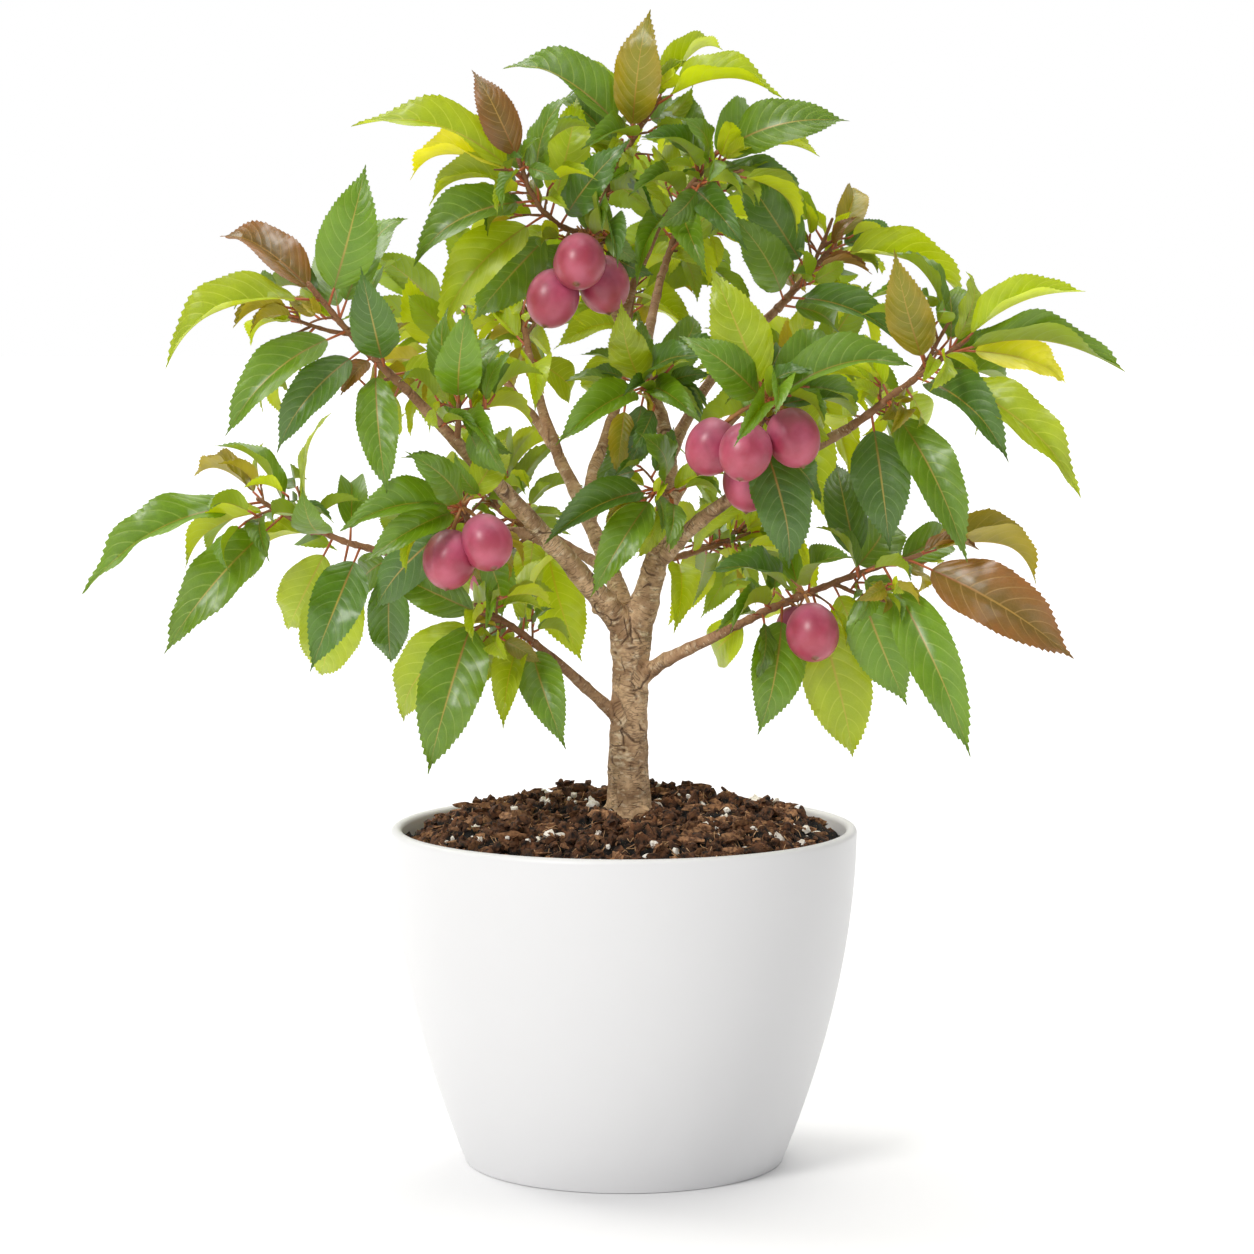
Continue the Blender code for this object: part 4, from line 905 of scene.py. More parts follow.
def growSprays(name, plan, space, grown, cover):
    # the rule carried on: short side shoots with small leaves, which from the front only stand
    # before or behind the larger ones, so the sky shows through where it did
    rng = random.Random(plan["seed"] + 2000)
    back = plan["tip"][1] > 60
    for number in range(sprayRule["backCount"] if back else sprayRule["count"]):
        shoot = grown["shoots"][number % len(grown["shoots"])]
        root, along = onLine(shoot, rng.uniform(0.12, 0.97))
        across = along.orthogonal().normalized()
        turn = math.radians(leafRule["goldenAngle"] * number + rng.uniform(-40, 40))
        radial = across * math.cos(turn) + along.cross(across) * math.sin(turn)
        lead = (along * 0.7 + radial + up * rng.uniform(-0.3, 0.3)).normalized()
        end = root + lead * rng.uniform(*sprayRule["reach"])
        line = curvePoints(root, end, up * 1.5, up * 1.0, 4)
        placed = 0
        tint = rng.choice(sprayRule["tints"])
        for step, share in enumerate((1.0, 0.85, 0.6, 0.4, 0.2)):
            base, ahead = onLine(line, share)
            for attempt in range(4):
                turn = math.radians(leafRule["goldenAngle"] * (step + 2 * attempt) + rng.uniform(-30, 30))
                across = ahead.orthogonal().normalized()
                radial = across * math.cos(turn) + ahead.cross(across) * math.sin(turn)
                angle = math.radians(rng.uniform(25, 50) if step == 0 else rng.uniform(48, 80))
                chord = ahead * math.cos(angle) + radial * math.sin(angle) - up * rng.uniform(0.1, 0.5)
                chord.normalize()
                outward = Vector((base.x, base.y, 0.0)).normalized()
                length = rng.uniform(*sprayRule["length"]) * (0.8 + 0.2 * share)
                leaf = (base, chord, bladeNormal(chord, outward, rng.uniform(10, 70)), length)
                if outside(base + chord * length) or not (back or hidden(leaf, cover)):
                    continue
                own = rng.choice(("green", "lime", tint)) if rng.random() < 0.35 else tint
                if tryLeaf(name, leaf, own, space, grown):
                    placed += 1
                    break
        if placed:
            grown["lines"].append((line, sprayRule["radius"], sprayRule["radius"] * 0.7))


def hidden(leaf, cover):
    # true where the blade lies before or behind leaves already grown, seen by the camera
    base, chord, normal, length = leaf
    eye = Vector(camera["place"]) / mm
    side = chord.cross(normal) * (length * 0.15)
    spots = [base + chord * (length * share) for share in (0.35, 0.7, 1.02)]
    spots += [base + chord * (length * 0.5) + side, base + chord * (length * 0.5) - side]
    return sum(cover.ray_cast(eye, (spot - eye).normalized())[0] is not None for spot in spots) >= 4


def growTree():
    limbs = limbLines()
    space = Space()
    for name, limb in limbs.items():
        space.add(name, limbShape(*limb, extra=leafRule["spare"] * 0.6))
    grown = {name: growStem("foliage_" + name, plan, limbs, space) for name, plan in masses.items()}
    for grow in (growShown, growFill):
        for name, plan in masses.items():
            grow("foliage_" + name, plan, space, grown[name])
    spots, faces = [], []
    for found in grown.values():
        for leaf, _ in found["leaves"]:
            more, cut = leafShape(leaf)
            faces += [tuple(corner + len(spots) for corner in face) for face in cut]
            spots += more
    cover = treeOf((spots, faces))
    for name, plan in masses.items():
        growSprays("foliage_" + name, plan, space, grown[name], cover)
    return limbs, grown


# Meshes

def newPiece(name, points, faces, materials, smooth=True):
    mesh = bpy.data.meshes.new(name)
    mesh.from_pydata(points, [], faces)
    for each in materials:
        mesh.materials.append(each)
    made = bpy.data.objects.new(name, mesh)
    bpy.context.scene.collection.objects.link(made)
    if smooth:
        mesh.shade_smooth()
    return made


def pick(thing):
    bpy.ops.object.select_all(action="DESELECT")
    thing.select_set(True)
    bpy.context.view_layer.objects.active = thing


def applyModifier(thing, kind, **settings):
    pick(thing)
    made = thing.modifiers.new(kind.lower(), kind)
    for name, value in settings.items():
        setattr(made, name, value)
    bpy.ops.object.modifier_apply(modifier=made.name)


def hold(thing, nodes=()):
    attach(thing, "root")
    if nodes:
        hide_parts(*nodes)


def writeVectors(mesh, name, values):
    made = mesh.attributes.new(name, "FLOAT_VECTOR", "POINT")
    made.data.foreach_set("vector", np.asarray(values, dtype=np.float32).ravel())


def writeFloats(mesh, name, values, domain="POINT"):
    made = mesh.attributes.new(name, "FLOAT", domain)
    made.data.foreach_set("value", np.asarray(values, dtype=np.float32))


# Trunk and boughs: curves with a thickness at each point, melted into one skin by a voxel
# remesh, then wrinkled along each limb

limbRule = dict(
    step=2.5, voxel=0.98, collar=0.66, collarFade=1.7, tuck=1.6, node=0.11, nodeWidth=2.2, nodeGap=(17.0, 31.0),
    wander=1.3, wrinkle=0.22, ring=0.10, ridge=0.30, lump=0.9, crotch=0.50, smoothing=3,
    shoulder=2.5, shoulderHeight=343.0, shoulderSpread=14.0,
)
ringNodes = {"low_right": (34.0, 0.30, 1.5), "low_left": (40.0, 0.22, 1.5), "left_main": (30.0, 0.16, 1.6)}
knots = (
    # on the trunk as the camera sees it: x, height, radius, rise
    (8.3, 301.9, 2.8, 1.1), (-5.7, 331.5, 2.8, 1.3), (-0.2, 268.2, 2.6, 1.1), (17.0, 284.8, 2.2, 1.1),
    (-9.0, 255.0, 2.4, 0.9), (12.0, 243.0, 2.2, 0.8), (2.0, 313.5, 1.7, 0.6), (11.5, 322.0, 1.7, 0.6),
)
seams = (
    # lines in the trunk's bark as the camera sees them: depth, then each x and height they pass
    (1.1, (-7.2, 294.3), (-1.2, 282.3), (6.8, 274.2), (14.3, 271.7)),
    (1.3, (4.3, 353.6), (4.0, 345.6), (4.8, 338.5)),
    (1.0, (5.3, 352.1), (9.8, 340.5), (14.8, 334.5)),
    (0.9, (2.8, 343.6), (-0.7, 338.5), (-4.2, 334.5)),
    (1.0, (17.8, 320.4), (14.8, 313.4), (10.8, 308.4), (1.8, 306.9)),
    (0.9, (9.8, 287.3), (11.3, 282.3), (14.8, 279.2)),
    (0.8, (-2.2, 284.3), (-0.7, 275.2), (-0.2, 268.2)),
    (0.7, (-6.2, 269.2), (-3.2, 268.2), (-0.2, 268.7)),
    (0.7, (-8.2, 267.2), (-6.7, 261.2), (-4.2, 258.1)),
    (0.7, (5.8, 257.1), (10.8, 256.6), (15.8, 258.1)),
    (0.6, (-4.2, 246.1), (-5.2, 240.1), (-3.2, 233.0)),
    (0.6, (6.8, 249.1), (8.8, 253.1), (12.8, 255.1)),
    (0.8, (-11.2, 353.6), (-7.2, 353.1), (-2.7, 355.6)),
    (0.5, (9.8, 246.1), (10.3, 237.0)),
    (0.6, (1.3, 334.5), (7.8, 336.0), (13.8, 333.5)),
    (0.7, (-5.2, 326.5), (0.8, 326.0), (5.8, 327.5)),
)


def fineLimb(name, limb, rng):
    # the limb in short steps, with a collar where it springs, nodes along it and a slight wander
    points, radii, _, _ = limb
    total = sum((b - a).length for a, b in zip(points, points[1:]))
    count = max(int(total / limbRule["step"]), 8)
    springs = name != "trunk" and boughs[name][1] < 1
    nodes = []
    here = rng.uniform(*limbRule["nodeGap"])
    while here < total - 6:
        nodes.append(here)
        here += rng.uniform(*limbRule["nodeGap"])
    line, thick, dist = [], [], []
    for step in range(count + 1):
        share = step / count
        spot, heading = onLine(points, share)
        place = share * (len(points) - 1)
        low = min(int(place), len(points) - 2)
        if name == "trunk":
            radius = trunkRadiusAt(spot.z) if share < 0.97 else trunk["radius"] * 0.9
            above = (spot.z - limbRule["shoulderHeight"]) / limbRule["shoulderSpread"]
            radius += limbRule["shoulder"] * math.exp(-above * above)
        else:
            radius = radii[low] + (radii[low + 1] - radii[low]) * (place - low)
            if springs:
                # a collar outside its parent, and a narrower start inside it
                radius *= 1 + limbRule["collar"] * math.exp(-share * total / (radii[0] * limbRule["collarFade"]))
                radius *= min(0.5 + 0.5 * share * total / (radii[0] * limbRule["tuck"]), 1.0)
            for node in nodes:
                away = (share * total - node) / limbRule["nodeWidth"]
                radius *= 1 + limbRule["node"] * math.exp(-away * away)
            if name in ringNodes:
                place, more, wide = ringNodes[name]
                radius *= 1 + more * math.exp(-(((share * total - place) / wide) ** 2))
            sway = noise.noise_vector(spot / 26.0) * limbRule["wander"]
            spot = spot + sway * math.sin(math.pi * share)
        line.append(spot)
        thick.append(radius)
        dist.append(share * total)
    return line, thick, dist


def curveLimb(name, line, thick):
    bpy.ops.curve.primitive_bezier_curve_add(location=(0, 0, 0))
    made = bpy.context.object
    made.name = name
    made.data.splines.clear()
    made.data.dimensions = "3D"
    spline = made.data.splines.new("POLY")
    spline.points.add(len(line) - 1)
    for point, spot, radius in zip(spline.points, line, thick):
        point.co = (*(spot * mm), 1.0)
        point.radius = radius
    made.data.bevel_depth = mm
    made.data.bevel_resolution = 5
    made.data.use_fill_caps = True
    return made


def rootsOf(rng):
    # surface roots that run from the flare into the soil
    found = []
    for angle, reach, thick in ((200, 34, 5.2), (248, 26, 4.4), (305, 38, 5.4), (350, 30, 4.8), (55, 34, 5.0), (130, 36, 5.2)):
        turn = math.radians(angle + rng.uniform(-8, 8))
        way = Vector((math.cos(turn), math.sin(turn), 0.0))
        start = trunk["foot"] + way * 7 + up * 13
        end = trunk["foot"] + way * reach - up * 4.5
        line = curvePoints(start, end, -up * 5, up * 1.5, 8)
        found.append((line, taper(thick, 1.8, len(line))))
    return found


def keepWhole(thing):
    # the voxels can leave a speck inside a fork: only what hangs together with the foot is kept
    foot = min(thing.data.vertices, key=lambda vertex: vertex.co.z).index
    pick(thing)
    bpy.ops.object.mode_set(mode="EDIT")
    bpy.ops.mesh.select_all(action="DESELECT")
    bpy.ops.object.mode_set(mode="OBJECT")
    thing.data.vertices[foot].select = True
    bpy.ops.object.mode_set(mode="EDIT")
    bpy.ops.mesh.select_linked()
    bpy.ops.mesh.select_all(action="INVERT")
    bpy.ops.mesh.delete(type="VERT")
    bpy.ops.object.mode_set(mode="OBJECT")


def makeLimbs(limbs, bark):
    rng = random.Random(4)
    samples = []
    parts = []
    for name, limb in limbs.items():
        line, thick, dist = fineLimb(name, limb, rng)
        if name != "trunk":
            parent = boughs[name][0]
            if name == "leader_high":
                line[0] = limbs[parent][0][-1] - (line[1] - line[0]) * 0.5
        parts.append(curveLimb(name, line, thick))
        offset = rng.uniform(0, 400)
        tangents = directions(line)
        across = tangents[0].orthogonal().normalized()
        for spot, radius, along, tangent in zip(line, thick, dist, tangents):
            across = (across - tangent * across.dot(tangent)).normalized()
            samples.append((spot, radius, along + offset, tangent, across.copy(), tangent.cross(across)))
    for index, (line, thick) in enumerate(rootsOf(rng)):
        parts.append(curveLimb(f"root_{index}", line, thick))
    bpy.ops.object.select_all(action="DESELECT")
    for part in parts:
        part.select_set(True)
    bpy.context.view_layer.objects.active = parts[0]
    bpy.ops.object.convert(target="MESH")
    bpy.ops.object.join()
    skin = bpy.context.object
    skin.name = "bark_skin"
    applyModifier(skin, "REMESH", mode="VOXEL", voxel_size=limbRule["voxel"] * mm, use_smooth_shade=True)
    applyModifier(skin, "SMOOTH", factor=0.6, iterations=limbRule["smoothing"])
    keepWhole(skin)
    wrinkle(skin, samples, [(limbs[name][0][0], limbs[name][1][0]) for name in boughs])
    skin.data.materials.clear()
    skin.data.materials.append(bark)
    skin.data.shade_smooth()
    return skin


def seamFinder():
    # points close together along the seams, with a depth that fades towards both ends
    steps = 60
    finder = KDTree(len(seams) * (steps + 1))
    depths = []
    for deep, *through in seams:
        line = [Vector((x, 0.0, height)) for x, height in through]
        for step in range(steps + 1):
            spot = onLine(line, step / steps)[0]
            spot += noise.noise_vector(spot / 6.0) * 1.2
            finder.insert((spot.x, 0.0, spot.z), len(depths))
            depths.append(deep * math.sin(math.pi * (0.04 + 0.92 * step / steps)) ** 0.5)
    finder.balance()
    return finder, depths


def trunkMarks(spot, finder, depths):
    # seams and knots; the far side of the trunk has the same ones the other way round
    seen = Vector((spot.x if spot.y < 0 else 8.0 - spot.x, 0.0, spot.z))
    _, index, gap = finder.find(seen)
    rise = depths[index] * (0.35 * math.exp(-(((gap - 1.7) / 0.8) ** 2)) - 0.9 * math.exp(-((gap / 0.62) ** 2)))
    for x, height, wide, tall in knots:
        gap = math.hypot(seen.x - x, seen.z - height)
        if gap < wide * 2:
            rise += tall * (math.exp(-((gap / wide) ** 2)) - 1.9 * math.exp(-((gap / (wide * 0.42)) ** 2)))
    return rise


def wrinkle(skin, samples, crotches):
    # finds each point's place along and around its limb, keeps it for the bark, and raises the relief
    finder, depths = seamFinder()
    tree = KDTree(len(samples))
    for index, sample in enumerate(samples):
        tree.insert(sample[0], index)
    tree.balance()
    mesh = skin.data
    normals = [vertex.normal.copy() for vertex in mesh.vertices]
    grain, age, relief = [], [], []
    for vertex, normal in zip(mesh.vertices, normals):
        spot = vertex.co / mm
        best = min(tree.find_n(spot, 5), key=lambda found: found[2] - samples[found[1]][1])
        middle, radius, along, tangent, across, side = samples[best[1]]
        away = spot - middle
        along += away.dot(tangent)
        x, y = away.dot(across), away.dot(side)
        thick = max(math.hypot(x, y), 0.1)
        place = Vector((x / thick * radius, y / thick * radius, along))
        stout = min(radius / 11.0, 1.0)
        lumps = limbRule["lump"] * noise.noise(place / 13.0) * stout
        warp = noise.noise(place / 15.0) * 5.0
        rings = noise.noise(Vector((place.x / 12.0, place.y / 12.0, (along + warp) / 2.3)))
        rise = limbRule["ring"] * max(rings, -0.5) * stout
        rise += limbRule["ridge"] * noise.noise(Vector((place.x / 4.6, place.y / 4.6, along / 30.0))) * stout
        rise += limbRule["wrinkle"] * noise.noise(place / 2.2) * stout
        for foot, thick in crotches:
            gap = (spot - foot).length - thick * 1.25
            if 0 < gap < 15:
                fade = math.exp(-gap / 6.0) * min(gap / 1.5, 1.0) * min(thick / 5.0, 1.0) * min(5.4 / thick, 1.0) ** 1.5
                rise -= limbRule["crotch"] * max(math.sin(gap * 2.2 + warp), -0.3) * fade
        if spot.z < 362 and abs(spot.x - 4.0) < 26:
            rise += trunkMarks(spot, finder, depths)
        vertex.co += normal * ((rise + lumps) * mm)
        grain.append(place)
        age.append(radius)
        # the relief is kept for the bark's colour, which paints shade into its hollows and light onto its raised parts
        relief.append(rise / 0.6)
    writeVectors(mesh, "grain", grain)
    writeFloats(mesh, "age", age)
    writeFloats(mesh, "relief", relief)


# Twigs, leaf stalks and plum stalks: many thin tubes joined into one mesh each

def tubesPiece(name, tubes, sides, material):
    # tubes are (points, first radius, last radius, bumps)
    points, faces, grain, age = [], [], [], []
    rng = random.Random(len(tubes))
    for line, first, last, bumps in tubes:
        total = sum((b - a).length for a, b in zip(line, line[1:]))
        count = max(int(total / (2.2 if bumps else 4.0)), 3)
        offset = rng.uniform(0, 300)
        gap = rng.uniform(7.0, 12.0)
        fine = [onLine(line, step / count)[0] for step in range(count + 1)]
        radii = []
        for step in range(count + 1):
            along = total * step / count
            radius = first + (last - first) * step / count
            if bumps:
                away = (along + offset) % gap - gap / 2
                radius *= 1 + 0.24 * math.exp(-(away / 1.5) ** 2)
            radii.append(radius)
            if step:
                fine[step] = fine[step] + noise.noise_vector(fine[step] / 14.0) * (0.5 if bumps else 0.25)
        if bumps:
            fine.append(fine[-1] + (fine[-1] - fine[-2]).normalized() * radii[-1] * 0.8)
            radii.append(radii[-1] * 0.55)
        spots, cut = tubeShape(fine, radii, sides)
        faces += [tuple(corner + len(points) for corner in face) for face in cut]
        points += [spot * mm for spot in spots]
        for ring, radius in enumerate(radii):
            for index in range(sides):
                angle = math.tau * index / sides
                grain.append((math.cos(angle) * radius, math.sin(angle) * radius, offset + total * ring / count))
                age.append(radius)
    made = newPiece(name, points, faces, [material])
    writeVectors(made.data, "grain", grain)
    writeFloats(made.data, "age", age)
    writeFloats(made.data, "relief", np.zeros(len(points)))
    return made


# Leaves

bladeRule = dict(
    rows=(-1.0, -0.70, -0.36, 0.0, 0.36, 0.70, 1.0), thickness=0.55, midrib=0.55,
    slim=(0.74, 1.00), round=0.68, point=(0.90, 1.12), tip=0.93, tail=(0.10, 0.16), tooth=0.54, toothRange=(0.25, 1.7), lean=0.75,
    fold=(8.0, 16.0), foldMore=74.0, curl=0.13, wave=0.022, quilt=0.0010, droop=0.13, sweep=0.06,
)
bladeGrids = {}


def bladeGrid(stations):
    # stations across, rows along: upper and under skins that share their margin
    if stations in bladeGrids:
        return bladeGrids[stations]
    rows = bladeRule["rows"]
    wide = len(rows)
    u, v, skin = [], [], []
    upper, under = {}, {}
    for i in range(stations + 1):
        for j, row in enumerate(rows):
            upper[i, j] = len(u)
            u.append(i / stations)
            v.append(row)
            skin.append(1.0)
    for i in range(stations + 1):
        for j, row in enumerate(rows):
            if i in (0, stations) or j in (0, wide - 1):
                under[i, j] = upper[i, j]
                continue
            under[i, j] = len(u)
            u.append(i / stations)
            v.append(row)
            skin.append(-1.0)
    faces, below, coords = [], [], []
    for i in range(stations):
        for j in range(wide - 1):
            corners = ((i, j), (i + 1, j), (i + 1, j + 1), (i, j + 1))
            for cut in ((0, 1, 2), (0, 2, 3)):
                faces.append([upper[corners[c]] for c in cut])
                faces.append([under[corners[c]] for c in reversed(cut)])
                below += [0.0, 1.0]
    faces = np.array(faces)
    u, v, skin = np.array(u), np.array(v), np.array(skin)
    corners = faces.ravel()
    coords = np.stack((u[corners], 0.5 + 0.5 * v[corners]), axis=1)
    bladeGrids[stations] = (u, v, skin, faces, np.array(below), coords)
    return bladeGrids[stations]


def bladePoints(leaf, rng, grid, stations):
    base, chord, normal, length = leaf
    u, v, skin = grid[:3]
    size = length * (1 - leafRule["petiole"])
    half = min(size * leafRule["width"], leafRule["widest"]) / 2
    half *= rng.uniform(*bladeRule["slim"])
    arch = archOf(chord)
    share = leafRule["petiole"] + (1 - leafRule["petiole"]) * u
    middle = np.array(base)[None, :] + np.outer(share * length, chord)
    middle = middle + np.outer(length * arch * np.sin(np.pi * share), normal)
    slope = arch * np.pi * np.cos(np.pi * share)
    ahead = np.array(chord)[None, :] + slope[:, None] * np.array(normal)[None, :]
    ahead /= np.linalg.norm(ahead, axis=1)[:, None]
    side = np.array(normal.cross(chord))
    lift = np.array(normal)[None, :] - slope[:, None] * np.array(chord)[None, :]
    lift /= np.linalg.norm(lift, axis=1)[:, None]
    # outline: rounded below, widest before the middle, drawn out to a slender tip, with uneven
    # teeth that lean forward
    first, last = bladeRule["round"], rng.uniform(*bladeRule["point"])
    peak = first / (first + last)
    near = np.clip(u / bladeRule["tip"], 0, 1)
    body = (near / peak) ** first * ((1 - near) / (1 - peak)) ** last
    tail = rng.uniform(*bladeRule["tail"]) * np.clip((1 - u) / 0.16, 0, 1) ** 0.9 * (u > 0.5)
    width = half * (body**4 + tail**4) ** 0.25
    sizes = np.array([rng.uniform(*bladeRule["toothRange"]) for _ in range(2 * stations + 2)])
    station = np.round(u * stations).astype(int)
    teeth = np.where(station % 2 == 1, sizes[2 * station + (v > 0)], -0.4)
    edge = np.abs(v) > 0.99
    fade = np.clip(u / 0.08, 0, 1) * np.clip((1 - u) / 0.10, 0, 1)
    width = width + np.where(edge, bladeRule["tooth"] * teeth * fade * (half / 22.0) ** 0.5, 0.0)
    ahead = ahead * np.where(edge & (teeth > 0), bladeRule["lean"] * size / stations * fade, 0.0)[:, None]
    # halves raised from the midrib, flatter outwards, with a slow wave along the margin
    low, high = bladeRule["fold"]
    more = bladeRule["foldMore"] * max(normal.z, 0.0) ** 1.5 * rng.uniform(0.8, 1.15)
    raised = math.radians(rng.uniform(low, high) + more)
    one, two = raised * rng.uniform(0.8, 1.15), raised * rng.uniform(0.8, 1.15)
    fold = np.where(v > 0, one, two) * (0.55 + 0.45 * np.sin(np.pi * np.clip(u, 0, 1)))
    curl = bladeRule["curl"] * rng.uniform(0.3, 1.5)
    bend = fold - curl * np.abs(v) * 1.2
    out = np.sign(v) * np.abs(v) * width * np.cos(bend)
    rise = np.abs(v) * width * np.sin(bend)
    phase, beats = rng.uniform(0, 6.28), rng.uniform(2.0, 3.6)
    wave = bladeRule["wave"] * length * rng.uniform(0.3, 1.1)
    rise = rise + wave * np.abs(v) ** 2 * np.sin(2 * np.pi * beats * u + phase + np.sign(v) * 0.9) * fade
    # the tip hangs and the blade sweeps a little aside
    past = np.clip(u - 0.55, 0, 1) / 0.45
    drop = bladeRule["droop"] * length * rng.uniform(0.2, 1.2) * past**2
    aside = bladeRule["sweep"] * length * rng.uniform(-1.2, 1.2) * (u**2)
    spots = middle + ahead + side[None, :] * (out + aside)[:, None] + lift * (rise - drop)[:, None]
    # skins, and the midrib that stands out below
    within = np.clip(1 - np.abs(v), 0, 1) ** 0.5 * np.clip(np.sin(np.pi * u), 0, 1) ** 0.4
    rib = bladeRule["midrib"] * np.exp(-(v / 0.10) ** 2) * (1 - 0.7 * u) * np.clip(np.sin(np.pi * u), 0, 1) ** 0.3
    thick = np.where(skin > 0, 0.0, bladeRule["thickness"] * within + rib)
    run = leafFinish["pairs"] * u - leafFinish["sweep"] * np.abs(v) ** leafFinish["arc"] + 0.45 * (v > 0)
    quilt = -np.cos(2 * np.pi * run) * bladeRule["quilt"] * length * (np.abs(v) > 0.1) * ~edge * fade
    spots = spots + lift * (quilt - thick)[:, None]
    return spots


def petioleOf(leaf):
    base, chord, normal, length = leaf
    arch = archOf(chord)
    end = leafRule["petiole"] + 0.012
    line = []
    for step in range(5):
        share = end * step / 4
        line.append(base + chord * (length * share) + normal * (length * arch * math.sin(math.pi * share) - 0.35))
    return line


def clearBlade(leaf, spots, faces, solids):
    # a blade whose fold or wave would cut a limb or plum is turned a little about its foot
    foot = petioleOf(leaf)[-1]
    side = leaf[1].cross(leaf[2])
    for angle in (0, 5, -5, 10, -10, 15, -15, 20, -20, 26, -26):
        for axis in (leaf[2], side):
            spin = np.array(Matrix.Rotation(math.radians(angle), 3, axis))
            turned = (spots - np.array(foot)) @ spin.T + np.array(foot)
            if not BVHTree.FromPolygons(turned.tolist(), faces).overlap(solids):
                return turned if angle else spots
    return spots


def leavesPiece(name, leaves, materials, order, solids):
    rng = random.Random(name)
    points, faces, below, coords, tones, slots = [], [], [], [], [], []
    count = 0
    for leaf, tint in leaves:
        stations = 52 if leaf[3] > 62 else 24
        grid = bladeGrid(stations)
        spots = clearBlade(leaf, bladePoints(leaf, rng, grid, stations), grid[3].tolist(), solids)
        points.append(spots * mm)
        faces.append(grid[3] + count)
        below.append(grid[4])
        coords.append(grid[5])
        tones.append(np.full(len(grid[3]), rng.random()))
        slots.append(np.full(len(grid[3]), order.index(tint)))
        count += len(spots)
    faces = np.concatenate(faces)
    made = newPiece(name, np.concatenate(points).tolist(), faces.tolist(), materials)
    made.data.polygons.foreach_set("material_index", np.concatenate(slots).astype(np.int32))
    made.data.set_sharp_from_angle(angle=math.radians(75))
    writeFloats(made.data, "under", np.concatenate(below), "FACE")
    writeFloats(made.data, "tone", np.concatenate(tones), "FACE")
    sheet = made.data.uv_layers.new(name="blade")
    sheet.data.foreach_set("uv", np.concatenate(coords).astype(np.float32).ravel())
    return made


# Plums: one is shaped, and each hanging one is a turned copy of it

plumLook = dict(skin=(0.43, 0.028, 0.095), dark=(0.28, 0.015, 0.058), blush=(0.48, 0.060, 0.070),
                bloomAndSheenTint=(0.74, 0.37, 0.52), nib=(0.20, 0.075, 0.030), stubs=7, stubLength=(5.0, 13.0), lean=0.26)


def plumMaterial():
    made, tree, shader = newMaterial("plum skin", 0.45)
    spot = attribute(tree, "rind").outputs["Vector"]
    parts = addNode(tree, "SeparateXYZ", {0: spot})
    height = parts.outputs[2]
    clouds = noiseAt(tree, spot, 1.1, 3.0)
    skin = mixColour(tree, mapRange(tree, clouds, 0.38, 0.66), plumLook["dark"], plumLook["skin"])
    skin = mixColour(tree, mapRange(tree, height, 0.2, -0.9, 0.0, 0.45), skin, plumLook["blush"])
    # the bloom is a random waxy dust, and its rise towards the stalk end is a painted sheen that makes each plum's top
    # paler
    bloomAndSheen = maths(tree, "MULTIPLY", mapRange(tree, noiseAt(tree, spot, 1.3, 5.0), 0.40, 0.75), 0.14)
    bloomAndSheen = maths(tree, "ADD", bloomAndSheen, mapRange(tree, height, -0.1, 1.1, 0.02, 0.25))
    skin = mixColour(tree, bloomAndSheen, skin, plumLook["bloomAndSheenTint"])
    dots = cellsAt(tree, spot, 16.0).outputs["Distance"]
    skin = mixColour(tree, mapRange(tree, dots, 0.04, 0.09, 0.25, 0.0), skin, (0.80, 0.42, 0.42))
    skin = mixColour(tree, mapRange(tree, height, -1.150, -1.163), skin, plumLook["nib"])
    tree.links.new(skin, shader.inputs["Base Color"])
    tree.links.new(maths(tree, "MULTIPLY_ADD", bloomAndSheen, 0.45, 0.47), shader.inputs["Roughness"])
    shader.inputs["Subsurface Weight"].default_value = 0.12
    shader.inputs["Coat Weight"].default_value = 0.55
    shader.inputs["Coat Roughness"].default_value = 0.32
    shader.inputs["Subsurface Radius"].default_value = (0.006, 0.002, 0.002)
    tree.links.new(bump(tree, dots, 0.08, 0.0003), shader.inputs["Normal"])
    return made


def shapePlum():
    bpy.ops.mesh.primitive_uv_sphere_add(segments=40, ring_count=36, radius=plum["radius"] * mm)
    made = bpy.context.object
    made.name = "plum_mould"
    rind = []
    for vertex in made.data.vertices:
        spot = vertex.co / (plum["radius"] * mm)
        angle = math.atan2(spot.y, spot.x)
        flat = math.hypot(spot.x, spot.y)
        rind.append((spot.x, spot.y, spot.z * 1.17))
        # a groove down one side, a dent at the stalk and a small nib at the other end
        groove = 0.055 * math.exp(-(angle / 0.16) ** 2) * math.sin(math.pi * min(flat, 1.0) * 0.5)
        wide = 1 - groove - 0.02 * math.sin(3 * angle + 1) * flat
        tall = spot.z * plum["halfLength"] / plum["radius"]
        if spot.z > 0.6:
            tall -= 0.20 * math.exp(-(flat / 0.24) ** 2)
        if spot.z < -0.6:
            tall -= 0.11 * math.exp(-((flat / 0.085) ** 2))
        vertex.co = Vector((spot.x * wide, spot.y * wide, tall)) * (plum["radius"] * mm)
    writeVectors(made.data, "rind", rind)
    made.data.shade_smooth()
    return made


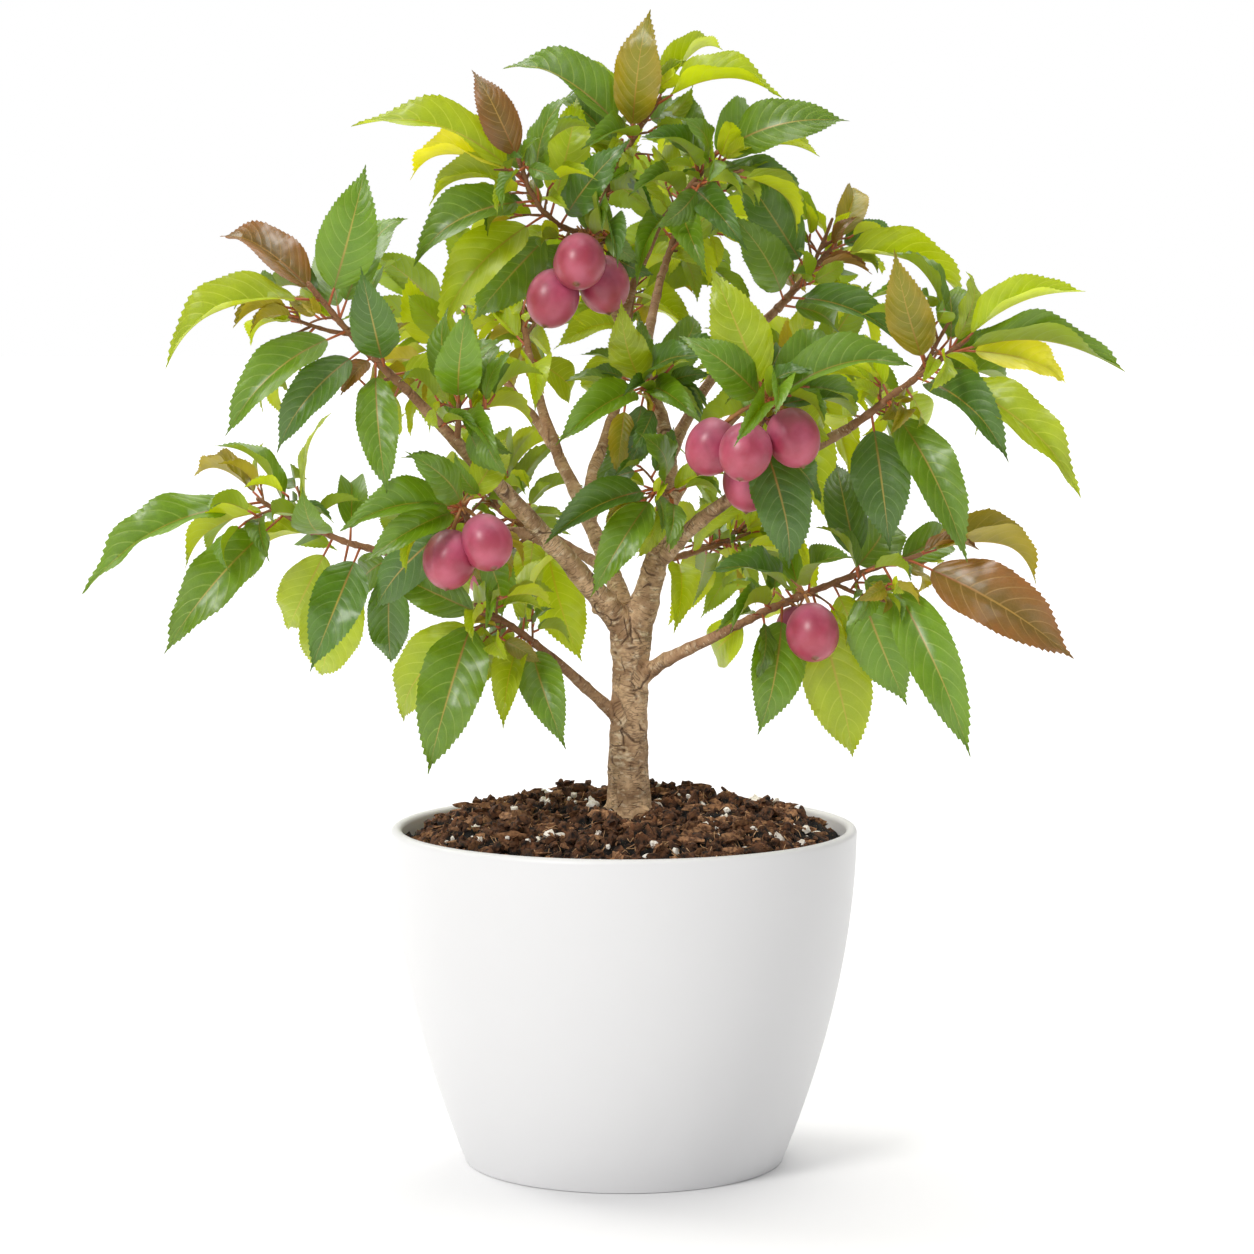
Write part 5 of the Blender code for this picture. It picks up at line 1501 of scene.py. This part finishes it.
def hangPlums(grown, skin, stalk):
    mould = shapePlum()
    rng = random.Random(12)
    hung, stalks = [], []
    for found in grown.values():
        for middle, axis, foot in found["plums"]:
            # each leans its lower end a little to the front
            axis = (axis + Vector((0.0, plumLook["lean"], 0.0))).normalized()
            across = axis.orthogonal().normalized()
            turn = rng.uniform(0, math.tau)
            x = across * math.cos(turn) + axis.cross(across) * math.sin(turn)
            y = axis.cross(x)
            size = rng.uniform(0.92, 0.97)
            copy = mould.copy()
            copy.data = mould.data.copy()
            bpy.context.scene.collection.objects.link(copy)
            for vertex in copy.data.vertices:
                spot = vertex.co * size
                vertex.co = x * spot.x + y * spot.y + axis * spot.z + middle * mm
            hung.append(copy)
            crown = middle + axis * (plum["halfLength"] * size - 4.4)
            stalks.append((curvePoints(foot, crown, up * 2, up * 3, 8), 1.15, 1.35, True))
            # a tuft of old stubs stands around each stalk's foot
            for _ in range(plumLook["stubs"]):
                way = Vector((rng.uniform(-1, 1), rng.uniform(-1, 0.7), rng.uniform(-0.5, 1))).normalized()
                tip = foot + way * rng.uniform(*plumLook["stubLength"])
                bow = Vector((rng.uniform(-1, 1), rng.uniform(-1, 1), 1.0))
                stalks.append((curvePoints(foot, tip, bow, bow, 4), 1.05, 0.55, False))
    bpy.data.objects.remove(mould)
    bpy.ops.object.select_all(action="DESELECT")
    for copy in hung:
        copy.select_set(True)
    bpy.context.view_layer.objects.active = hung[0]
    bpy.ops.object.join()
    plums = bpy.context.object
    plums.name = "plums"
    plums.data.materials.append(skin)
    return plums, tubesPiece("plum_stalks", stalks, 8, stalk)


# Pot: a filled circle drawn up ring by ring, over the lip and down inside

def wallRadius(height):
    share = 1 - (1 - height / potRule["height"]) ** potRule["belly"]
    return potRule["footRadius"] + (potRule["rimRadius"] - potRule["footRadius"]) * share


def potMaterial():
    made, tree, shader = newMaterial("white satin pot", 0.40)
    place = objectPlace(tree)
    cloud = noiseAt(tree, place, 9.0, 3.0)
    tree.links.new(mixColour(tree, cloud, (0.686, 0.686, 0.696), (0.716, 0.716, 0.726)), shader.inputs["Base Color"])
    tree.links.new(maths(tree, "MULTIPLY_ADD", cloud, 0.10, 0.36), shader.inputs["Roughness"])
    fine = noiseAt(tree, place, 600.0, 2.0)
    tree.links.new(bump(tree, fine, 0.10, 0.0002), shader.inputs["Normal"])
    return made


def makePot(glaze):
    top = potRule["height"] - potRule["lip"]
    rings = [(potRule["footRadius"] + 0.2, 0.5), (wallRadius(1.6), 1.6)]
    rings += [(wallRadius(top * step / 22), top * step / 22) for step in range(1, 23)]
    middle = wallRadius(top) - potRule["lip"]
    for step in range(1, 13):
        angle = math.pi * step / 12
        rings.append((middle + potRule["lip"] * math.cos(angle), top + potRule["lip"] * math.sin(angle)))
    for height in (208.0, 196.0, 176.0, 150.0, 120.0, 90.0, 60.0, 30.0, potRule["floor"]):
        rings.append((wallRadius(height) - potRule["wall"], height))
    start = potRule["footRadius"] - 1.6
    bpy.ops.mesh.primitive_circle_add(vertices=128, radius=start * mm, fill_type="NGON")
    pot = bpy.context.object
    pot.name = "white_pot"
    bpy.ops.object.mode_set(mode="EDIT")
    bpy.ops.mesh.select_all(action="SELECT")
    radius, height = start, 0.0
    for wide, tall in rings:
        bpy.ops.mesh.extrude_region_move(TRANSFORM_OT_translate={"value": (0, 0, (tall - height) * mm)})
        grow = wide / radius
        bpy.ops.transform.resize(value=(grow, grow, 1.0), center_override=(0, 0, tall * mm))
        radius, height = wide, tall
    bpy.ops.mesh.select_all(action="SELECT")
    bpy.ops.mesh.normals_make_consistent(inside=False)
    bpy.ops.object.mode_set(mode="OBJECT")
    pot.data.materials.append(glaze)
    bpy.ops.object.shade_smooth_by_angle(angle=math.radians(40))
    return pot


# Soil: a disc of rings heaped in clumps, with crumbs, fibres and white grit on it

soilRule = dict(
    edge=209.0, crownHeight=231.0, crownBack=38.0, lump=4.5, ring=134.0, rings=150, segments=500,
    clump=12.0, crumb=4.6, rough=2.3, crumbs=1300, chips=640, fibres=340, grit=210,
    sunk=0.35,
)


def soilHeight(radius, angle):
    where = Vector((radius * math.cos(angle), radius * math.sin(angle), 0.0))
    edge = radius / soilRule["ring"]
    heap = (where - Vector((0.0, soilRule["crownBack"], 0.0))).length / (soilRule["ring"] + soilRule["crownBack"])
    fall = max(edge**5, heap**1.8)
    height = soilRule["crownHeight"] + (soilRule["edge"] - soilRule["crownHeight"]) * fall
    where = (where + up * 7.0) / 21.0
    return height + soilRule["lump"] * noise.noise(where) * 1.6


def clods(x, y):
    # uneven clods with deep narrow gaps between them, in two sizes, and a torn surface
    bend = noise.noise_vector(Vector((x, y, 1.0)) / 8.0) * 4.0
    x, y = x + bend.x, y + bend.y
    near, _ = noise.voronoi(Vector((x, y, 3.0)) / 13.0)
    rise = soilRule["clump"] * (min(near[1] - near[0], 0.5) ** 0.55 - 0.45)
    near, _ = noise.voronoi(Vector((x + 40.0, y, 9.0)) / 5.2)
    rise += soilRule["crumb"] * (min(near[1] - near[0], 0.4) ** 0.6 - 0.35)
    torn = noise.multi_fractal(Vector((x, y, 0.0)) / 5.5, 0.8, 2.2, 4)
    return rise + soilRule["rough"] * (torn - 1.0)


def makeSoil(loam):
    inner = wallRadius(204.0) - potRule["wall"] - 0.6
    wide, segments = soilRule["rings"], soilRule["segments"]
    points, faces, depth = [], [], []
    for ring in range(wide):
        radius = 4.0 + (inner - 4.0) * ring / (wide - 1)
        for index in range(segments):
            angle = math.tau * index / segments
            x, y = radius * math.cos(angle), radius * math.sin(angle)
            height = soilHeight(min(radius, soilRule["ring"]), angle) + clods(x, y)
            nearTrunk = math.exp(-((radius / 17.0) ** 4))
            height += (226.0 - height) * nearTrunk * 0.8
            height -= max(radius - (inner - 5.0), 0.0) * 0.7
            points.append((x * mm, y * mm, height * mm))
            depth.append((height - soilHeight(min(radius, soilRule["ring"]), angle)) / 4.0)
    for radius, height in ((inner, 196.0), (wallRadius(90.0) - 9.0, 90.0), (wallRadius(10.0) - 9.0, 9.0)):
        for index in range(segments):
            angle = math.tau * index / segments
            points.append((radius * math.cos(angle) * mm, radius * math.sin(angle) * mm, height * mm))
    rows = wide + 3
    for ring in range(rows - 1):
        low, high = ring * segments, (ring + 1) * segments
        for index in range(segments):
            after = (index + 1) % segments
            faces.append((low + index, high + index, high + after, low + after))
    faces.append(tuple(range(segments)))
    faces.append(tuple(reversed(range((rows - 1) * segments, rows * segments))))
    made = newPiece("loam", points, faces, [loam])
    # the clods' rise, which the soil's colour turns into painted shade in the gaps
    writeFloats(made.data, "rise", depth + [-1.0] * (len(points) - len(depth)))
    return made


def overSoil(spot, ground):
    top = ground.ray_cast(Vector((spot.x, spot.y, 300.0)), -up)[0]
    return spot.z - top.z if top else 0.0


def scatterOnSoil(name, count, size, flat, material, seed, ground, long=(0.7, 1.25), reach=131.0, lift=0.30):
    # small faceted lumps, each its own size and turn, half sunk in the clods
    bpy.ops.mesh.primitive_ico_sphere_add(subdivisions=2, radius=1.0)
    mould = bpy.context.object
    shape = [vertex.co.copy() for vertex in mould.data.vertices]
    cut = [tuple(face.vertices) for face in mould.data.polygons]
    bpy.data.objects.remove(mould)
    rng = random.Random(seed)
    points, faces = [], []
    for number in range(count):
        radius = reach * math.sqrt(rng.uniform(0.02, 1.0))
        angle = rng.uniform(0, math.tau)
        wide = size[0] + (size[1] - size[0]) * rng.random() ** 2.2
        x, y = radius * math.cos(angle), radius * math.sin(angle)
        middle = Vector((x, y, soilHeight(min(radius, soilRule["ring"]), angle) + clods(x, y) + wide * lift))
        turn = Vector((rng.uniform(-1, 1), rng.uniform(-1, 1), rng.uniform(-1, 1))).to_track_quat("Z", "Y")
        stretch = Vector((rng.uniform(*long), rng.uniform(0.7, 1.25), rng.uniform(*flat)))
        first = len(points)
        lump = []
        for spot in shape:
            rough = 1 + 0.75 * noise.noise(spot * 1.5 + Vector((number, 0, seed)))
            lump.append(middle + turn @ Vector(spot * stretch * (wide * rough)))
        # one that would hover over a gap comes down until it is sunk a little
        gap = min(overSoil(spot, ground) for spot in lump) + soilRule["sunk"]
        points += [(spot - up * max(gap, 0.0)) * mm for spot in lump]
        faces += [tuple(corner + first for corner in face) for face in cut]
    made = newPiece(name, points, faces, [material])
    made.data.set_sharp_from_angle(angle=math.radians(28))
    return made


def layFibres(material):
    rng = random.Random(77)
    tubes = []
    for _ in range(soilRule["fibres"]):
        radius = 126.0 * math.sqrt(rng.uniform(0.03, 1.0))
        angle = rng.uniform(0, math.tau)
        heading = rng.uniform(0, math.tau)
        length = rng.uniform(6.0, 26.0)
        bend = rng.uniform(-0.09, 0.09)
        x, y = radius * math.cos(angle), radius * math.sin(angle)
        line = []
        for step in range(7):
            far = min(math.hypot(x, y), 131.0)
            height = soilHeight(far, math.atan2(y, x)) + clods(x, y) + 0.5
            line.append(Vector((x, y, height)))
            x += math.cos(heading) * length / 6
            y += math.sin(heading) * length / 6
            heading += bend * 4
            if math.hypot(x, y) > 131.0:
                break
        if len(line) > 3:
            tubes.append((line, 0.42, 0.25, False))
    return tubesPiece("soil_fibres", tubes, 5, material)


def loamMaterial():
    made, tree, shader = newMaterial("potting soil", 0.95)
    place = objectPlace(tree)
    clouds = noiseAt(tree, place, 160.0, 6.0)
    flecks = cellsAt(tree, place, 700.0).outputs["Distance"]
    rise = attribute(tree, "rise").outputs["Fac"]
    height = maths(tree, "MULTIPLY_ADD", clouds, 1.6, rise)
    # near black in the gaps between the clods as painted shade, up to the soil's brown on their tops, broken by random
    # clouds
    colour = mixColour(tree, mapRange(tree, height, 0.65, 2.3), (0.002, 0.001, 0.0004), (0.235, 0.092, 0.035))
    colour = mixColour(tree, mapRange(tree, flecks, 0.08, 0.20, 0.6, 0.0), colour, (0.42, 0.23, 0.12))
    tree.links.new(colour, shader.inputs["Base Color"])
    rough = noiseAt(tree, place, 900.0, 4.0)
    tree.links.new(bump(tree, maths(tree, "ADD", rough, clouds), 0.9, 0.0009), shader.inputs["Normal"])
    return made


def plainMaterial(name, first, last, scale, roughness):
    made, tree, shader = newMaterial(name, roughness)
    streak = noiseAt(tree, objectPlace(tree), scale, 4.0)
    tree.links.new(mixColour(tree, mapRange(tree, streak, 0.35, 0.65), first, last), shader.inputs["Base Color"])
    tree.links.new(bump(tree, streak, 0.5, 0.0004), shader.inputs["Normal"])
    return made


# The plant and its pot

placeCamera()
lightStudio()
layFloor()

limbs, grown = growTree()
placed = sum(len(found["leaves"]) for found in grown.values())
print("grown", placed, "leaves on", len(grown), "masses")

bark = barkMaterial()
skin = makeLimbs(limbs, bark)
hold(skin, ["trunk"] + ["bough_" + name for name in boughs])
print("bark", len(skin.data.polygons), "faces")

lines = []
stalks = []
for found in grown.values():
    lines += [(line, first, last, True) for line, first, last in found["lines"]]
    stalks += [(petioleOf(leaf), 0.95, 0.75, False) for leaf, _ in found["leaves"]]
twigs = tubesPiece("twigs", lines, 8, bark)
hold(twigs)
petioles = tubesPiece("leaf_stalks", stalks, 6, stalkMaterial("leaf stalk", (0.40, 0.060, 0.030), (0.50, 0.170, 0.045)))
hold(petioles)
print("twigs", len(lines), "leaf stalks", len(stalks))

stalkLook = stalkMaterial("plum stalk", (0.52, 0.24, 0.06), (0.30, 0.13, 0.045))
plums, plumStalks = hangPlums(grown, plumMaterial(), stalkLook)
hold(plums)
hold(plumStalks)
print("plums", len(plums.data.polygons), "faces")

solids = treeOfPieces(skin, plums)
order = list(leafLooks)
leafMaterials = [leafMaterial(tint) for tint in order]
for name, found in grown.items():
    leaves = leavesPiece("leaves_" + name, found["leaves"], leafMaterials, order, solids)
    hold(leaves, ["foliage_" + name])
print("leaves done")

pot = makePot(potMaterial())
hold(pot, ["pot"])
soil = makeSoil(loamMaterial())
hold(soil, ["soil"])
ground = treeOfPieces(soil)
crumbLook = plainMaterial("soil crumbs", (0.005, 0.002, 0.001), (0.150, 0.060, 0.023), 300.0, 0.92)
crumbs = scatterOnSoil("soil_crumbs", soilRule["crumbs"], (0.9, 5.0), (0.45, 0.95), crumbLook, 5, ground)
hold(crumbs)
chipLook = plainMaterial("bark chips", (0.080, 0.032, 0.013), (0.400, 0.200, 0.090), 400.0, 0.85)
chips = scatterOnSoil("soil_chips", soilRule["chips"], (1.4, 4.0), (0.16, 0.36), chipLook, 7, ground, long=(1.8, 3.8))
hold(chips)
gritLook = plainMaterial("white grit", (0.76, 0.69, 0.59), (0.95, 0.92, 0.86), 400.0, 0.85)
grit = scatterOnSoil("soil_grit", soilRule["grit"], (1.1, 4.0), (0.45, 0.9), gritLook, 9, ground, lift=0.6)
hold(grit)
fibres = layFibres(plainMaterial("fibres", (0.60, 0.37, 0.19), (0.28, 0.14, 0.06), 500.0, 0.85))
hold(fibres)
print("pot and soil done")
